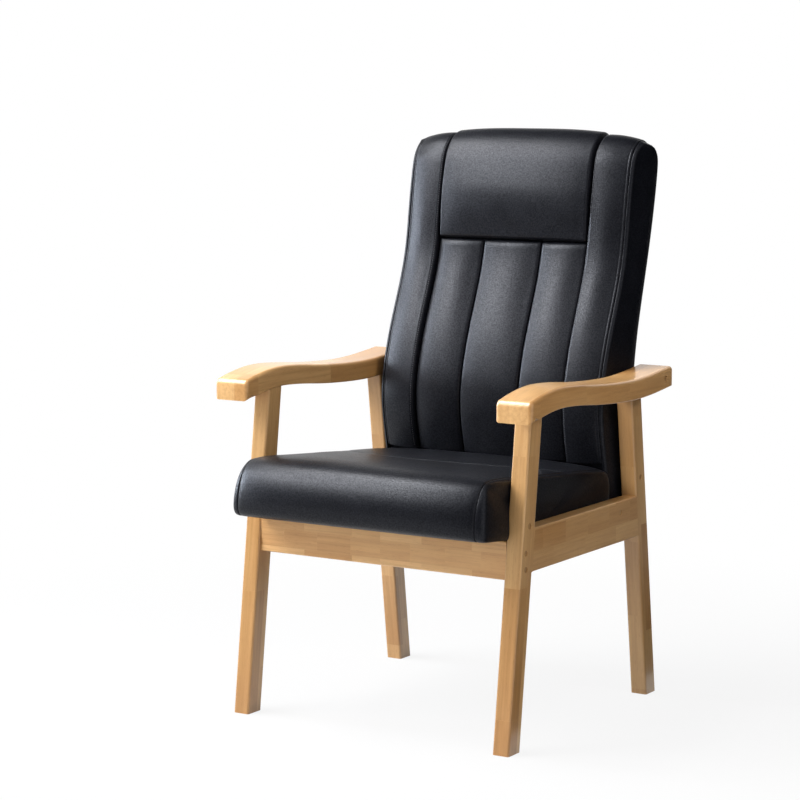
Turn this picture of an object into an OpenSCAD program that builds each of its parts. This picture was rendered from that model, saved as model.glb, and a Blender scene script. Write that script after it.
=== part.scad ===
// Upholstered conference chair on a rubberwood frame.
// Two side frames, each of two raked legs, a side rail and an armrest, are joined by a front rail,
// a raked seat unit and a reclined back unit. Bolts through the side frames hold all three.
// X runs across the chair, Y from the front to the back and Z up. The origin is on the floor,
// under the middle of the chair.

/* [Overall] */
// Depth from the nose of the seat to the rear of the back
overall_depth = 700; // [680:1:740]
// Clear width between the left and the right legs
inner_w = 526; // [490:1:580]

/* [Legs] */
// Thickness of a leg across the chair
leg_w = 33; // [30:0.5:40]
// Depth of a front leg from front to back
front_leg_d = 42; // [38:0.5:50]
// Depth of a rear leg from front to back
rear_leg_d = 40; // [36:0.5:48]
// Distance from the front of the front feet to the rear of the rear feet
foot_spread = 573; // [550:1:600]
// Lean of a front leg towards the back, in degrees
front_rake = 7.1; // [5:0.1:9]
// Lean of a rear leg towards the front, in degrees
rear_rake = 7.3; // [5:0.1:9]
// Radius of the long edges of a leg
leg_edge_r = 4; // [2:0.5:6]

/* [Rails] */
// Height of the top of a side rail above the floor
side_rail_top = 394; // [385:1:405]
// Height of a side rail
side_rail_h = 78; // [70:1:90]
// Thickness of a side rail
side_rail_t = 30; // [26:0.5:30]
// Length of the tenons of a side rail
tenon_l = 16; // [12:1:20]
// Thickness of the tenons of a side rail
tenon_t = 10; // [8:0.5:12]
// Height of the shoulder above and below a tenon
tenon_shoulder = 12; // [8:1:16]
// How much lower the top of the front rail is than the top of a side rail
front_rail_drop = 21; // [14:1:28]
// Height of the front rail
front_rail_h = 70; // [64:1:80]
// Thickness of the front rail
front_rail_t = 24; // [22:0.5:28]

/* [Armrests] */
// Width of an armrest
arm_w = 73; // [65:1:85]
// Thickness of an armrest
arm_t = 37.5; // [34:0.5:42]
// Height of the highest part of an armrest above the floor
arm_top = 643; // [625:1:660]
// Drop from that height that the curve of the armrest is measured by
arm_dip = 25; // [18:0.5:30]
// How far the armrest reaches in front of the front leg
arm_front_over = 71; // [55:1:85]
// How far the armrest reaches behind the bolt at its rear end
arm_rear_over = 26; // [22:1:30]
// Radius of the upper front edge of the armrest
arm_nose_r = 12; // [8:0.5:14]
// Diameter of the dowels between leg and armrest
dowel_d = 8; // [6:0.5:10]
// Length of those dowels
dowel_l = 36; // [30:1:40]
// Distance between the two dowels of a leg
dowel_pitch = 18; // [16:0.5:20]

/* [Seat] */
// Slope of the seat down towards the back, in degrees
seat_rake = 4.5; // [3:0.1:6]
// Clearance between the rear end of the seat cushion and the back
seat_clear = 1; // [0.5:0.1:3]
// Thickness of the seat cushion at its side seams
seat_t = 106; // [98:1:115]
// How much higher the middle of the cushion is than its side seams
seat_crown = 7; // [4:0.5:12]
// How much narrower each side seam is than the lower edge of the cushion
seat_seam_inset = 11; // [8:0.5:16]
// Height of the battens in the seat
batten_h = 45; // [42:1:50]
// Thickness of the battens in the seat
batten_t = 25; // [22:0.5:30]
// Distance from the nose of the cushion to the front batten
batten_front = 45; // [42:1:52]
// Distance from the rear batten to the rear end of the cushion
batten_rear_gap = 28; // [24:1:34]
// Thickness of the plywood board in the seat
seat_board_t = 9; // [6:0.5:12]
// Thickness of the cushion at its side, outside the battens
seat_wall = 3; // [2:0.5:4]
// Thickness of the dust cover under the seat
dust_t = 1.2; // [1:0.1:2]
// Height of the seat bolts above the underside of the seat
seat_bolt_h = 26; // [24:1:30]
// Distance from the rear leg to the rear seat bolt
seat_bolt_inset = 65; // [55:1:75]

/* [Back] */
// Height of the lower edge of the back above the floor
back_bottom = 372; // [365:1:380]
// Height at which the top of the back begins to turn over
back_shoulder = 1010; // [990:1:1030]
// Height of the rounded top of the back, without its pads
back_cap_h = 45; // [40:1:55]
// Greatest thickness of the back behind its pads
back_t = 98; // [94:1:106]
// Thickness of the stiles and rails of the back, from front to back
stile_d = 36; // [32:1:38]
// Thickness of the stiles across the chair
stile_w = 28; // [24:1:32]
// Thickness of the plywood board in the back
back_board_t = 6; // [5:0.5:8]
// Thickness of the rear cover of the back
rear_cover_t = 5; // [4:0.5:6]
// Thickness of a side panel at its front edge
side_panel_t = 6; // [5:0.5:8]
// How much further out the rear edge of a side panel is than its front edge
side_panel_splay = 15; // [10:0.5:18]
// Width of the middle channel pad
mid_channel_w = 128; // [110:1:145]
// Distance between the two seams beside the channel pads
field_w = 330; // [300:1:350]
// Height of the seam below the head pillow
pillow_seam = 866; // [840:1:890]
// Height of the padding of the channels
channel_pad = 25; // [20:0.5:30]
// Height of the padding of the head pillow
pillow_pad = 30; // [24:0.5:34]
// Height of the padding of the side bolsters
bolster_pad = 20; // [16:0.5:24]
// Height of a pad at its seams
pad_edge = 7; // [5:0.5:9]
// Length over which a pad rounds down to the seam at its end
pad_end_len = 40; // [30:1:50]
// Length over which a side bolster rounds down over the top of the back
bolster_top_len = 110; // [90:1:130]
// Width of the groove between two pads
seam_gap = 1; // [0.6:0.1:2]

/* [Fasteners] */
// Diameter of the bolt shanks
bolt_d = 6; // [5:0.5:8]
// Diameter of the bolt heads
bolt_head_d = 10; // [9:0.5:12]
// Height of the bolt heads
bolt_head_h = 6; // [4:0.5:6]
// Diameter of the plugged holes over the bolt heads
plug_d = 11; // [10:0.5:13]
// Thickness of the plugs
plug_t = 4; // [3:0.5:5]
// Depth of the plugs below the wood's surface
plug_recess = 1.5; // [1:0.5:2]
// Diameter of the barrel nuts and insert nuts
nut_d = 10; // [9:0.5:12]
// Length of the barrel nuts and insert nuts
nut_l = 14; // [12:0.5:16]
// Distance from the end of the front rail to its barrel nuts
nut_inset = 28; // [24:1:34]
// Height between the two bolts at each end of the front rail
rail_bolt_pitch = 29; // [26:1:34]
// Diameter of the wood screws
screw_d = 3.5; // [3:0.1:4.5]
// Length of the wood screws
screw_l = 25; // [20:1:28]
// Diameter of the heads of the wood screws
screw_head_d = 7; // [6:0.5:8]

/* [Fits] */
// Clearance between a bolt or nut and its hole, and between pieces that lie on each other
fit = 0.3; // [0.2:0.05:0.5]
// Clearance between the seat or the back and the legs
side_clear = 2; // [1.5:0.1:3]
// How far a cut runs past the surface that it opens
overrun = 2; // [1:0.5:4]

/* [Hidden] */
$fn = 48;
left = -1;
right = 1;

// Smooth curve through a table of places and values
function segment_of(table, x, i = 0) =
    i >= len(table) - 2 || x <= table[i + 1][0] ? i : segment_of(table, x, i + 1);
function slope_at(table, i) =
    let (a = max(i - 1, 0), b = min(i + 1, len(table) - 1))
    (table[b][1] - table[a][1]) / (table[b][0] - table[a][0]);
function smooth(table, x) =
    let (i = segment_of(table, x), h = table[i + 1][0] - table[i][0], u = (x - table[i][0]) / h)
    (2 * u ^ 3 - 3 * u ^ 2 + 1) * table[i][1] + (u ^ 3 - 2 * u ^ 2 + u) * h * slope_at(table, i)
    + (3 * u ^ 2 - 2 * u ^ 3) * table[i + 1][1] + (u ^ 3 - u ^ 2) * h * slope_at(table, i + 1);

// Faces of the legs, as the Y where each is at height z
function front_leg_front(z) = -foot_spread / 2 + z * tan(front_rake);
function front_leg_rear(z) = front_leg_front(z) + front_leg_d;
function rear_leg_rear(z) = foot_spread / 2 - z * tan(rear_rake);
function rear_leg_front(z) = rear_leg_rear(z) - rear_leg_d;
function front_leg_mid(z) = front_leg_front(z) + front_leg_d / 2;
function rear_leg_mid(z) = rear_leg_rear(z) - rear_leg_d / 2;

inner_x = inner_w / 2;
outer_x = inner_x + leg_w;
side_rail_bottom = side_rail_top - side_rail_h;
front_rail_top = side_rail_top - front_rail_drop;
front_rail_bottom = front_rail_top - front_rail_h;
front_rail_y = front_leg_front(front_rail_top);

// Height on the back and how far its rear has leaned
back_lean_shares = [
    [0, 0], [0.089, 0.01], [0.232, 0.09], [0.378, 0.175], [0.483, 0.272], [0.549, 0.36],
    [0.657, 0.535], [0.781, 0.735], [0.926, 0.93], [1, 1]
];
// Height on the back and its thickness there
back_depth_shares = [
    [0, 0.59], [0.075, 0.62], [0.13, 0.69], [0.17, 0.79], [0.232, 0.92], [0.295, 1], [0.357, 0.99],
    [0.42, 0.94], [0.483, 0.88], [0.545, 0.81], [0.608, 0.745], [0.67, 0.7], [0.734, 0.7],
    [0.796, 0.74], [0.859, 0.79], [0.92, 0.82], [1, 0.81]
];

// Lines of the back at height z: its rear surface, and the base of its pads
lower_bolt_share = 0.089;
back_h = back_shoulder - back_bottom;
back_bolt_z = back_bottom + back_h * lower_bolt_share;
back_foot_y = rear_leg_mid(back_bolt_z) + stile_d / 2 + rear_cover_t + fit;
cap_half = back_t * smooth(back_depth_shares, 1) / 2;
cap_lean_share = 0.2;
cap_reach = sqrt(cap_half ^ 2 + (cap_lean_share * back_cap_h) ^ 2) - cap_half;
back_head_y = overall_depth / 2 - cap_reach;
function back_share(z) = (z - back_bottom) / back_h;
function back_rear(z) =
    back_foot_y + (back_head_y - back_foot_y) * smooth(back_lean_shares, back_share(z));
function back_base(z) = back_rear(z) - back_t * smooth(back_depth_shares, back_share(z));
cap_mid_y = back_head_y - cap_half;
// Point on the turned-over top, from 0 degrees at the front to 180 at the rear, grown by out
function cap_point(angle, out) = [
    cap_mid_y - (cap_half + out) * cos(angle) + cap_lean_share * (back_cap_h + out) * sin(angle),
    back_shoulder + (back_cap_h + out) * sin(angle)
];

// Levels that all pieces of the back share
back_steps = 24;
function back_level(i) = back_bottom + back_h * i / back_steps;
rail_levels = 2;
bottom_rail_level = 1;
middle_rail_level = 9;
top_rail_level = back_steps - rail_levels;

// Armrest curve
arm_under_z = arm_top - arm_t;
arm_tip_y = front_leg_front(arm_under_z) - arm_front_over;
upper_bolt_drop_share = 0.3;
upper_bolt_z = arm_under_z + arm_t / 2 - arm_dip * upper_bolt_drop_share;
upper_bolt_y = back_rear(upper_bolt_z) - rear_cover_t - fit - stile_d / 2;
arm_end_y = upper_bolt_y + arm_rear_over;
arm_len = arm_end_y - arm_tip_y;
// Place along the armrest and its drop there
arm_drop_shares = [
    [0, 0.7], [0.065, 0.36], [0.154, 0.07], [0.229, 0], [0.34, 0.13], [0.452, 0.36],
    [0.526, 0.48], [0.638, 0.6], [0.749, 0.63], [0.861, 0.5], [1, 0.2]
];
arm_steps = 36;
function arm_share(y) = (y - arm_tip_y) / arm_len;
function arm_top_at(y) = arm_top - arm_dip * smooth(arm_drop_shares, arm_share(y));
function arm_under_at(y) = arm_top_at(y) - arm_t;

// Seat frame of reference: Y along the slope from the nose, Z square to it from the underside
seat_x = inner_x - side_clear;
seat_nose_share = 0.4;
seat_y0 = -overall_depth / 2 - seat_nose_share * (seat_t + seat_crown) * sin(seat_rake);
rail_rear_y = front_rail_y + front_rail_t;
seat_z0 = front_rail_top + fit + (rail_rear_y - seat_y0) * tan(seat_rake);
function seat_underside(y) = seat_z0 - (y - seat_y0) * tan(seat_rake);
function seat_bolt_line(y) = seat_underside(y) + seat_bolt_h / cos(seat_rake);
function seat_surface(y) = seat_underside(y) + (seat_t + seat_crown) / cos(seat_rake);
pad_bottom = seat_surface(back_foot_y - back_t) + fit;
seat_end_y = back_base(pad_bottom) - seat_clear - seat_t / 2 * sin(seat_rake);
seat_len = (seat_end_y - seat_y0) / cos(seat_rake);
batten_x = seat_x - seat_wall;
batten_rear = seat_len - batten_rear_gap;
board_top = dust_t + batten_h + seat_board_t;
front_seat_bolt_z = (seat_bolt_line(front_leg_mid(0))) / (1 + tan(front_rake) * tan(seat_rake));
front_seat_bolt_y = front_leg_mid(front_seat_bolt_z);
rear_seat_bolt_y = rear_leg_front(side_rail_top) - seat_bolt_inset;
rear_seat_bolt_z = seat_bolt_line(rear_seat_bolt_y);

// Bolt places on a side, as Y and Z
rail_bolt_z = front_rail_bottom + (front_rail_h - rail_bolt_pitch) / 2;
rail_bolt_places = [
    for (i = [0, 1]) [front_rail_y + front_rail_t / 2, rail_bolt_z + i * rail_bolt_pitch]
];
seat_bolt_places = [[front_seat_bolt_y, front_seat_bolt_z], [rear_seat_bolt_y, rear_seat_bolt_z]];
lower_bolt_place = [rear_leg_mid(back_bolt_z), back_bolt_z];
upper_bolt_place = [upper_bolt_y, upper_bolt_z];
head_depth = plug_recess + plug_t + bolt_head_h;
arm_outer_x = inner_x + arm_w;
back_x = inner_x - side_clear;
core_x = back_x - side_panel_splay - side_panel_t;
stile_x = core_x - fit;

module on_side(side) {
    if (side == right) children();
    else mirror([1, 0, 0]) children();
}

// Extrudes an outline of Y and Z points from x0 to x1
module along_x(x0, x1) {
    translate([x0, 0, 0]) rotate([90, 0, 90]) linear_extrude(x1 - x0) children();
}

module rod(place, x0, x1, d) {
    translate([x0, place[0], place[1]]) rotate([0, 90, 0]) cylinder(d = d, h = x1 - x0);
}

// Hole for a bolt with its head and plug, opening at the outer face x1
module bolt_hole(place, x0, x1) {
    rod(place, x0 - overrun, x1, bolt_d + 2 * fit);
    rod(place, x1 - head_depth, x1 + overrun, plug_d);
}

module bolt(place, tip_x, face_x) {
    seat_face = face_x - head_depth;
    rod(place, tip_x, seat_face + bolt_head_h, bolt_d);
    rod(place, seat_face, seat_face + bolt_head_h, bolt_head_d);
}

module bolt_pair(places, tip_x, face_x) {
    for (side = [left, right], place = places) on_side(side) bolt(place, tip_x, face_x);
}

// Solid between a front grid and a back grid of points, given row by row
module grid_solid(front, back) {
    rows = len(front);
    cols = len(front[0]);
    count = rows * cols;
    points = concat([for (row = front) each row], [for (row = back) each row]);
    function at(i, j) = i * cols + j;
    faces = concat(
        [for (i = [0:rows - 2], j = [0:cols - 2]) each
            [[at(i, j), at(i + 1, j), at(i + 1, j + 1)], [at(i, j), at(i + 1, j + 1), at(i, j + 1)]]],
        [for (i = [0:rows - 2], j = [0:cols - 2]) each [
            [count + at(i, j), count + at(i + 1, j + 1), count + at(i + 1, j)],
            [count + at(i, j), count + at(i, j + 1), count + at(i + 1, j + 1)]]],
        [for (j = [0:cols - 2]) each [
            [at(0, j), at(0, j + 1), count + at(0, j + 1)],
            [at(0, j), count + at(0, j + 1), count + at(0, j)],
            [at(rows - 1, j + 1), at(rows - 1, j), count + at(rows - 1, j)],
            [at(rows - 1, j + 1), count + at(rows - 1, j), count + at(rows - 1, j + 1)]]],
        [for (i = [0:rows - 2]) each [
            [at(i, cols - 1), at(i + 1, cols - 1), count + at(i + 1, cols - 1)],
            [at(i, cols - 1), count + at(i + 1, cols - 1), count + at(i, cols - 1)],
            [at(i + 1, 0), at(i, 0), count + at(i, 0)],
            [at(i + 1, 0), count + at(i, 0), count + at(i + 1, 0)]]]
    );
    polyhedron(points, faces);
}

// Legs

module leg_bar(foot_y, rake, depth) {
    d = depth * cos(rake);
    r = leg_edge_r;
    long = arm_top / cos(rake) + 2 * leg_w;
    translate([inner_x, foot_y, 0]) rotate([-rake, 0, 0]) translate([0, -d / 2, -leg_w]) {
        translate([r, 0, 0]) cube([leg_w - 2 * r, d, long]);
        translate([0, r, 0]) cube([leg_w, d - 2 * r, long]);
        for (x = [r, leg_w - r], y = [r, d - r]) translate([x, y, 0]) cylinder(r = r, h = long);
    }
}

// Square outer corner of a leg beside the end of a side rail that is flush with it
module flush_corner(low_y, high_y, reach) {
    along_x(outer_x - leg_edge_r, outer_x) polygon([
        [low_y, side_rail_bottom], [high_y, side_rail_top],
        [high_y + reach, side_rail_top], [low_y + reach, side_rail_bottom]
    ]);
}

// Space between the floor and the underside of the armrest
module leg_space() {
    reach = overall_depth / 2;
    points = [for (i = [arm_steps:-1:0]) let (y = arm_tip_y + arm_len * i / arm_steps)
        [y, arm_under_at(y)]];
    along_x(inner_x - overrun, outer_x + overrun)
        polygon(concat([[-reach, 0], [reach, 0], [reach, arm_under_at(arm_end_y)]], points,
            [[-reach, arm_under_at(arm_tip_y)]]));
}

function tenon_z(upper) =
    upper ? side_rail_top - tenon_shoulder : side_rail_bottom + tenon_shoulder;

// Outline of the side rail and its two tenons, with the tenons grown by grow
module tenon_outline(grow) {
    low = tenon_z(false) - grow;
    high = tenon_z(true) + grow;
    polygon([
        [front_leg_rear(low) - tenon_l - grow, low], [rear_leg_front(low) + tenon_l + grow, low],
        [rear_leg_front(high) + tenon_l + grow, high], [front_leg_rear(high) - tenon_l - grow, high]
    ]);
}

module mortise() {
    mid = outer_x - side_rail_t / 2;
    along_x(mid - tenon_t / 2 - fit / 2, mid + tenon_t / 2 + fit / 2) tenon_outline(fit);
}

function dowel_places(mid_y) = [mid_y - dowel_pitch / 2, mid_y + dowel_pitch / 2];
arm_dowel_ys = concat(
    dowel_places(front_leg_mid(arm_under_z)), dowel_places(rear_leg_mid(arm_under_z))
);

module dowel_rods(d, extra) {
    for (y = arm_dowel_ys)
        translate([inner_x + leg_w / 2, y, arm_under_at(y) - dowel_l / 2 - extra])
            cylinder(d = d, h = dowel_l + 2 * extra);
}

module front_leg(side) {
    color("burlywood") on_side(side) difference() {
        union() {
            intersection() {
                leg_bar(front_leg_mid(0), front_rake, front_leg_d);
                leg_space();
            }
            flush_corner(front_leg_rear(side_rail_bottom), front_leg_rear(side_rail_top),
                -leg_edge_r / cos(front_rake));
        }
        mortise();
        dowel_rods(dowel_d + fit, fit);
        for (place = concat(rail_bolt_places, [seat_bolt_places[0]]))
            bolt_hole(place, inner_x, outer_x);
    }
}

module rear_leg(side) {
    color("burlywood") on_side(side) difference() {
        union() {
            intersection() {
                leg_bar(rear_leg_mid(0), -rear_rake, rear_leg_d);
                leg_space();
            }
            flush_corner(rear_leg_front(side_rail_bottom), rear_leg_front(side_rail_top),
                leg_edge_r / cos(rear_rake));
        }
        mortise();
        dowel_rods(dowel_d + fit, fit);
        bolt_hole(lower_bolt_place, inner_x, outer_x);
    }
}

// Rails

module side_rail(side) {
    mid = outer_x - side_rail_t / 2;
    color("burlywood") on_side(side) difference() {
        union() {
            along_x(outer_x - side_rail_t, outer_x) polygon([
                [front_leg_rear(side_rail_bottom), side_rail_bottom],
                [rear_leg_front(side_rail_bottom), side_rail_bottom],
                [rear_leg_front(side_rail_top), side_rail_top],
                [front_leg_rear(side_rail_top), side_rail_top]
            ]);
            along_x(mid - tenon_t / 2, mid + tenon_t / 2) tenon_outline(0);
        }
        bolt_hole(seat_bolt_places[1], outer_x - side_rail_t, outer_x);
    }
}

module front_rail() {
    color("burlywood") difference() {
        translate([-inner_x, front_rail_y, front_rail_bottom])
            cube([inner_w, front_rail_t, front_rail_h]);
        for (side = [left, right], place = rail_bolt_places) on_side(side) {
            rod(place, inner_x - nut_inset - nut_d, inner_x + overrun, bolt_d + 2 * fit);
            translate([inner_x - nut_inset, place[0] - nut_l / 2 - fit, place[1]])
                rotate([-90, 0, 0]) cylinder(d = nut_d + fit, h = front_rail_t + overrun);
        }
    }
}

// Armrests

module arm_outline() {
    nose_y = arm_tip_y + arm_nose_r;
    nose_z = arm_top_at(nose_y) - arm_nose_r;
    top = [for (i = [0:arm_steps]) let (y = nose_y + (arm_end_y - nose_y) * i / arm_steps)
        [y, arm_top_at(y)]];
    under = [for (i = [arm_steps:-1:0]) let (y = arm_tip_y + arm_len * i / arm_steps)
        [y, arm_under_at(y)]];
    nose = [for (angle = [180:-15:105])
        [nose_y + arm_nose_r * cos(angle), nose_z + arm_nose_r * sin(angle)]];
    polygon(concat(nose, top, under));
}

module armrest(side) {
    color("burlywood") on_side(side) difference() {
        along_x(inner_x, arm_outer_x) arm_outline();
        dowel_rods(dowel_d + fit, fit);
        bolt_hole(upper_bolt_place, inner_x, arm_outer_x);
    }
}

module arm_dowels() {
    color("tan") for (side = [left, right]) on_side(side) dowel_rods(dowel_d, 0);
}

// Bolts, nuts and plugs

module front_rail_bolts() {
    color("silver") bolt_pair(rail_bolt_places, inner_x - nut_inset - nut_d / 2, outer_x);
}

module front_rail_barrel_nuts() {
    color("silver") for (side = [left, right], place = rail_bolt_places) on_side(side)
        difference() {
            translate([inner_x - nut_inset, place[0] - nut_l / 2, place[1]])
                rotate([-90, 0, 0]) cylinder(d = nut_d, h = nut_l);
            rod(place, inner_x - nut_inset - nut_d, inner_x, bolt_d + fit);
        }
}

// Insert nut whose outer face is at x1
module insert_nut(place, x1) {
    difference() {
        rod(place, x1 - nut_l, x1, nut_d);
        rod(place, x1 - nut_l - overrun, x1 + overrun, bolt_d + fit);
    }
}

module insert_hole(place, x1) {
    rod(place, x1 - nut_l - bolt_d, x1 + overrun, nut_d + fit);
}

module seat_bolts() {
    color("silver") bolt_pair(seat_bolt_places, batten_x - nut_l, outer_x);
}

module seat_insert_nuts() {
    color("silver") for (side = [left, right], place = seat_bolt_places)
        on_side(side) insert_nut(place, batten_x);
}

module back_bolts_lower() {
    color("silver") bolt_pair([lower_bolt_place], stile_x - nut_l, outer_x);
}

module back_bolts_upper() {
    color("silver") bolt_pair([upper_bolt_place], stile_x - nut_l, arm_outer_x);
}

module back_insert_nuts() {
    color("silver") for (side = [left, right], place = [lower_bolt_place, upper_bolt_place])
        on_side(side) insert_nut(place, stile_x);
}

module plug(place, face_x) {
    rod(place, face_x - plug_recess - plug_t, face_x - plug_recess, plug_d);
}

module bolt_plugs() {
    color("wheat") for (side = [left, right]) on_side(side) {
        for (place = concat(rail_bolt_places, seat_bolt_places, [lower_bolt_place]))
            plug(place, outer_x);
        plug(upper_bolt_place, arm_outer_x);
    }
}

// Seat

module in_seat() {
    translate([0, seat_y0, seat_z0]) rotate([-seat_rake, 0, 0]) children();
}

module batten_block(x0, x1, y0, y1) {
    in_seat() translate([x0, y0, dust_t]) cube([x1 - x0, y1 - y0, batten_h]);
}

// Places of the screws that hold the seat board, in the seat's own frame
seat_screw_xs = [batten_t / 2 - batten_x, batten_x - batten_t / 2];
seat_screw_shares = [0.15, 0.5, 0.85];
seat_screw_places = [
    for (x = seat_screw_xs, share = seat_screw_shares)
        [x, batten_front + (batten_rear - batten_front) * share]
];

screw_head_h = screw_head_d / 4;

// Screw whose head ends at height screw_l, or with extra above its head the hole for it
module screw_rod(extra) {
    cylinder(d = screw_d, h = screw_l);
    translate([0, 0, screw_l - screw_head_h]) cylinder(d = screw_head_d, h = screw_head_h + extra);
}

module seat_screws_at(extra) {
    for (place = seat_screw_places)
        in_seat() translate([place[0], place[1], board_top - screw_l]) screw_rod(extra);
}

module seat_side_batten(side) {
    color("tan") difference() {
        on_side(side) difference() {
            batten_block(batten_x - batten_t, batten_x, batten_front, batten_rear);
            for (place = seat_bolt_places) insert_hole(place, batten_x);
        }
        seat_screws_at(overrun);
    }
}

module seat_cross_batten(y0) {
    half = batten_x - batten_t;
    color("tan") batten_block(-half, half, y0, y0 + batten_t);
}

module seat_board() {
    color("peru") difference() {
        in_seat() translate([-batten_x, batten_front, dust_t + batten_h])
            cube([2 * batten_x, batten_rear - batten_front, seat_board_t]);
        seat_screws_at(overrun);
    }
}

module seat_board_screws() {
    color("silver") seat_screws_at(0);
}

module seat_dust_cover() {
    color("dimgray") in_seat() translate([-batten_x, batten_front, 0])
        cube([2 * batten_x, batten_rear - batten_front, dust_t]);
}

// Side view of the cushion at its side seams, then in its middle, from the lower front edge over
// the nose and the top to the lower rear edge, as shares of its length and its thickness
seat_seam_shares = [
    [0.066, 0], [0.047, 0.05], [0.04, 0.18], [0.041, 0.4], [0.052, 0.66], [0.078, 0.88],
    [0.12, 0.99], [0.17, 1.02], [0.27, 1.01], [0.48, 1], [0.68, 0.99], [0.87, 0.98], [0.95, 0.95],
    [0.98, 0.87], [0.99, 0.55], [0.99, 0.12], [0.98, 0]
];
seat_mid_shares = [
    [0.056, 0], [0.022, 0.05], [0.005, 0.18], [0, 0.4], [0.01, 0.64], [0.038, 0.86],
    [0.085, 0.97], [0.15, 1.01], [0.26, 1], [0.48, 0.99], [0.68, 0.99], [0.87, 1], [0.95, 0.99],
    [0.984, 0.93], [0.998, 0.6], [0.996, 0.12], [0.985, 0]
];
seat_profile_steps = 3;

// Point of a smooth line through hand-placed points
function line_point(points, i, u) =
    let (
        n = len(points), a = points[max(i - 1, 0)], b = points[i],
        c = points[min(i + 1, n - 1)], d = points[min(i + 2, n - 1)]
    )
    (2 * b + (c - a) * u + (2 * a - 5 * b + 4 * c - d) * u ^ 2 + (3 * b - a - 3 * c + d) * u ^ 3) / 2;
function line_points(points, steps) = [
    for (i = [0:len(points) - 2], k = [0:steps - 1]) line_point(points, i, k / steps),
    points[len(points) - 1]
];
seam_line_shares = line_points(seat_seam_shares, seat_profile_steps);
mid_line_shares = line_points(seat_mid_shares, seat_profile_steps);

// Stations across the half width of the cushion as a share of it, and the share of the crown there
seat_station_shares = [0, 0.28, 0.52, 0.71, 0.85, 0.94, 0.985, 1];
function crown_share(u) = (1 - u ^ 3) ^ 0.6;
// Beyond the seam the side swells out: how far it has gone, and how much the outline has shrunk
seat_side_shares = [[0.45, 1], [0.8, 0.985], [1, 0.93]];
seat_seam_x = seat_x - seat_seam_inset;
seat_swell_mid_shares = [0.5, 0];

function seat_ring(x, crown, shrink) = [
    for (k = [0:len(seam_line_shares) - 1])
        let (
            seam = seam_line_shares[k], mid = mid_line_shares[k],
            share = seam + (mid - seam) * crown,
            tight = seat_swell_mid_shares + (share - seat_swell_mid_shares) * shrink
        )
        [x, seat_len * tight[0], (seat_t + seat_crown * crown) * tight[1]]
];
seat_half_rings = concat(
    [for (u = seat_station_shares) seat_ring(seat_seam_x * u, crown_share(u), 1)],
    [for (s = seat_side_shares) seat_ring(seat_seam_x + seat_seam_inset * s[0], 0, s[1])]
);
function mirrored(ring) = [for (p = ring) [-p[0], p[1], p[2]]];
seat_rings = concat(
    [for (i = [len(seat_half_rings) - 1:-1:1]) mirrored(seat_half_rings[i])], seat_half_rings
);

// Solid through closed rings of points that follow each other along X
module ring_solid(rings) {
    n = len(rings[0]);
    last = len(rings) - 1;
    function at(i, k) = i * n + k % n;
    faces = concat(
        [for (i = [0:last - 1], k = [0:n - 1]) each
            [[at(i, k), at(i + 1, k + 1), at(i + 1, k)], [at(i, k), at(i, k + 1), at(i + 1, k + 1)]]],
        [[for (k = [n - 1:-1:0]) at(0, k)]],
        [[for (k = [0:n - 1]) at(last, k)]]
    );
    polyhedron([for (ring = rings) each ring], faces);
}

module seat_cushion() {
    color("dimgray") difference() {
        in_seat() difference() {
            ring_solid(seat_rings);
            translate([-batten_x - fit, batten_front - fit, -overrun])
                cube([
                    2 * (batten_x + fit), batten_rear - batten_front + 2 * fit,
                    board_top + fit + overrun
                ]);
        }
        for (side = [left, right], place = seat_bolt_places)
            on_side(side) rod(place, batten_x, inner_x, bolt_d + 2 * fit);
    }
}

// Back

// Outline between two lines that lie a distance in front of the back's rear surface
function back_line(first, last, ahead) =
    [for (i = [first:last]) [back_rear(back_level(i)) - ahead, back_level(i)]];
function turned(list) = [for (i = [len(list) - 1:-1:0]) list[i]];
module back_band(first, last, near, far) {
    polygon(concat(back_line(first, last, near), turned(back_line(first, last, far))));
}

stile_near = rear_cover_t + fit;
stile_far = stile_near + stile_d;
board_far = stile_far + back_board_t;

// Places of the screws through the back board, as the side, X and height
back_screw_levels = [4, 14, 20];
back_screw_x = stile_x - stile_w / 2;

module back_screws_at(extra) {
    for (x = [-back_screw_x, back_screw_x], i = back_screw_levels)
        translate([x, back_rear(back_level(i)) - board_far + screw_l, back_level(i)])
            rotate([90, 0, 0]) screw_rod(extra);
}

module back_stile(side) {
    color("tan") difference() {
        on_side(side) difference() {
            along_x(stile_x - stile_w, stile_x)
                back_band(bottom_rail_level, back_steps, stile_near, stile_far);
            for (place = [lower_bolt_place, upper_bolt_place]) insert_hole(place, stile_x);
        }
        back_screws_at(overrun);
    }
}

module back_rail(level) {
    half = stile_x - stile_w;
    color("tan") along_x(-half, half)
        back_band(level, level + rail_levels, stile_near, stile_far);
}

module back_board() {
    color("peru") difference() {
        along_x(-stile_x, stile_x)
            back_band(bottom_rail_level, back_steps, stile_far, board_far);
        back_screws_at(overrun);
    }
}

module back_board_screws() {
    color("silver") back_screws_at(0);
}

cap_steps = 12;
cap_end_share = 0.7;
function cap_line(from_share, to_share, out) = [
    for (k = [0:cap_steps])
        cap_point(180 * (from_share + (to_share - from_share) * k / cap_steps), out)
];

// Line below the pads, ahead of the lower front of the back, from height z0 up to height z1
function below_pads(z0, z1, behind) = [
    for (z = concat([z0], [for (i = [0:back_steps]) if (back_level(i) > z0 && back_level(i) < z1)
        back_level(i)], [z1]))
        [back_base(z) + behind, z]
];
foam_foot = back_level(bottom_rail_level);
foam_face_zs = [for (z = pad_line(pad_bottom, back_shoulder, true)) if (z < back_shoulder) z];

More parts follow.
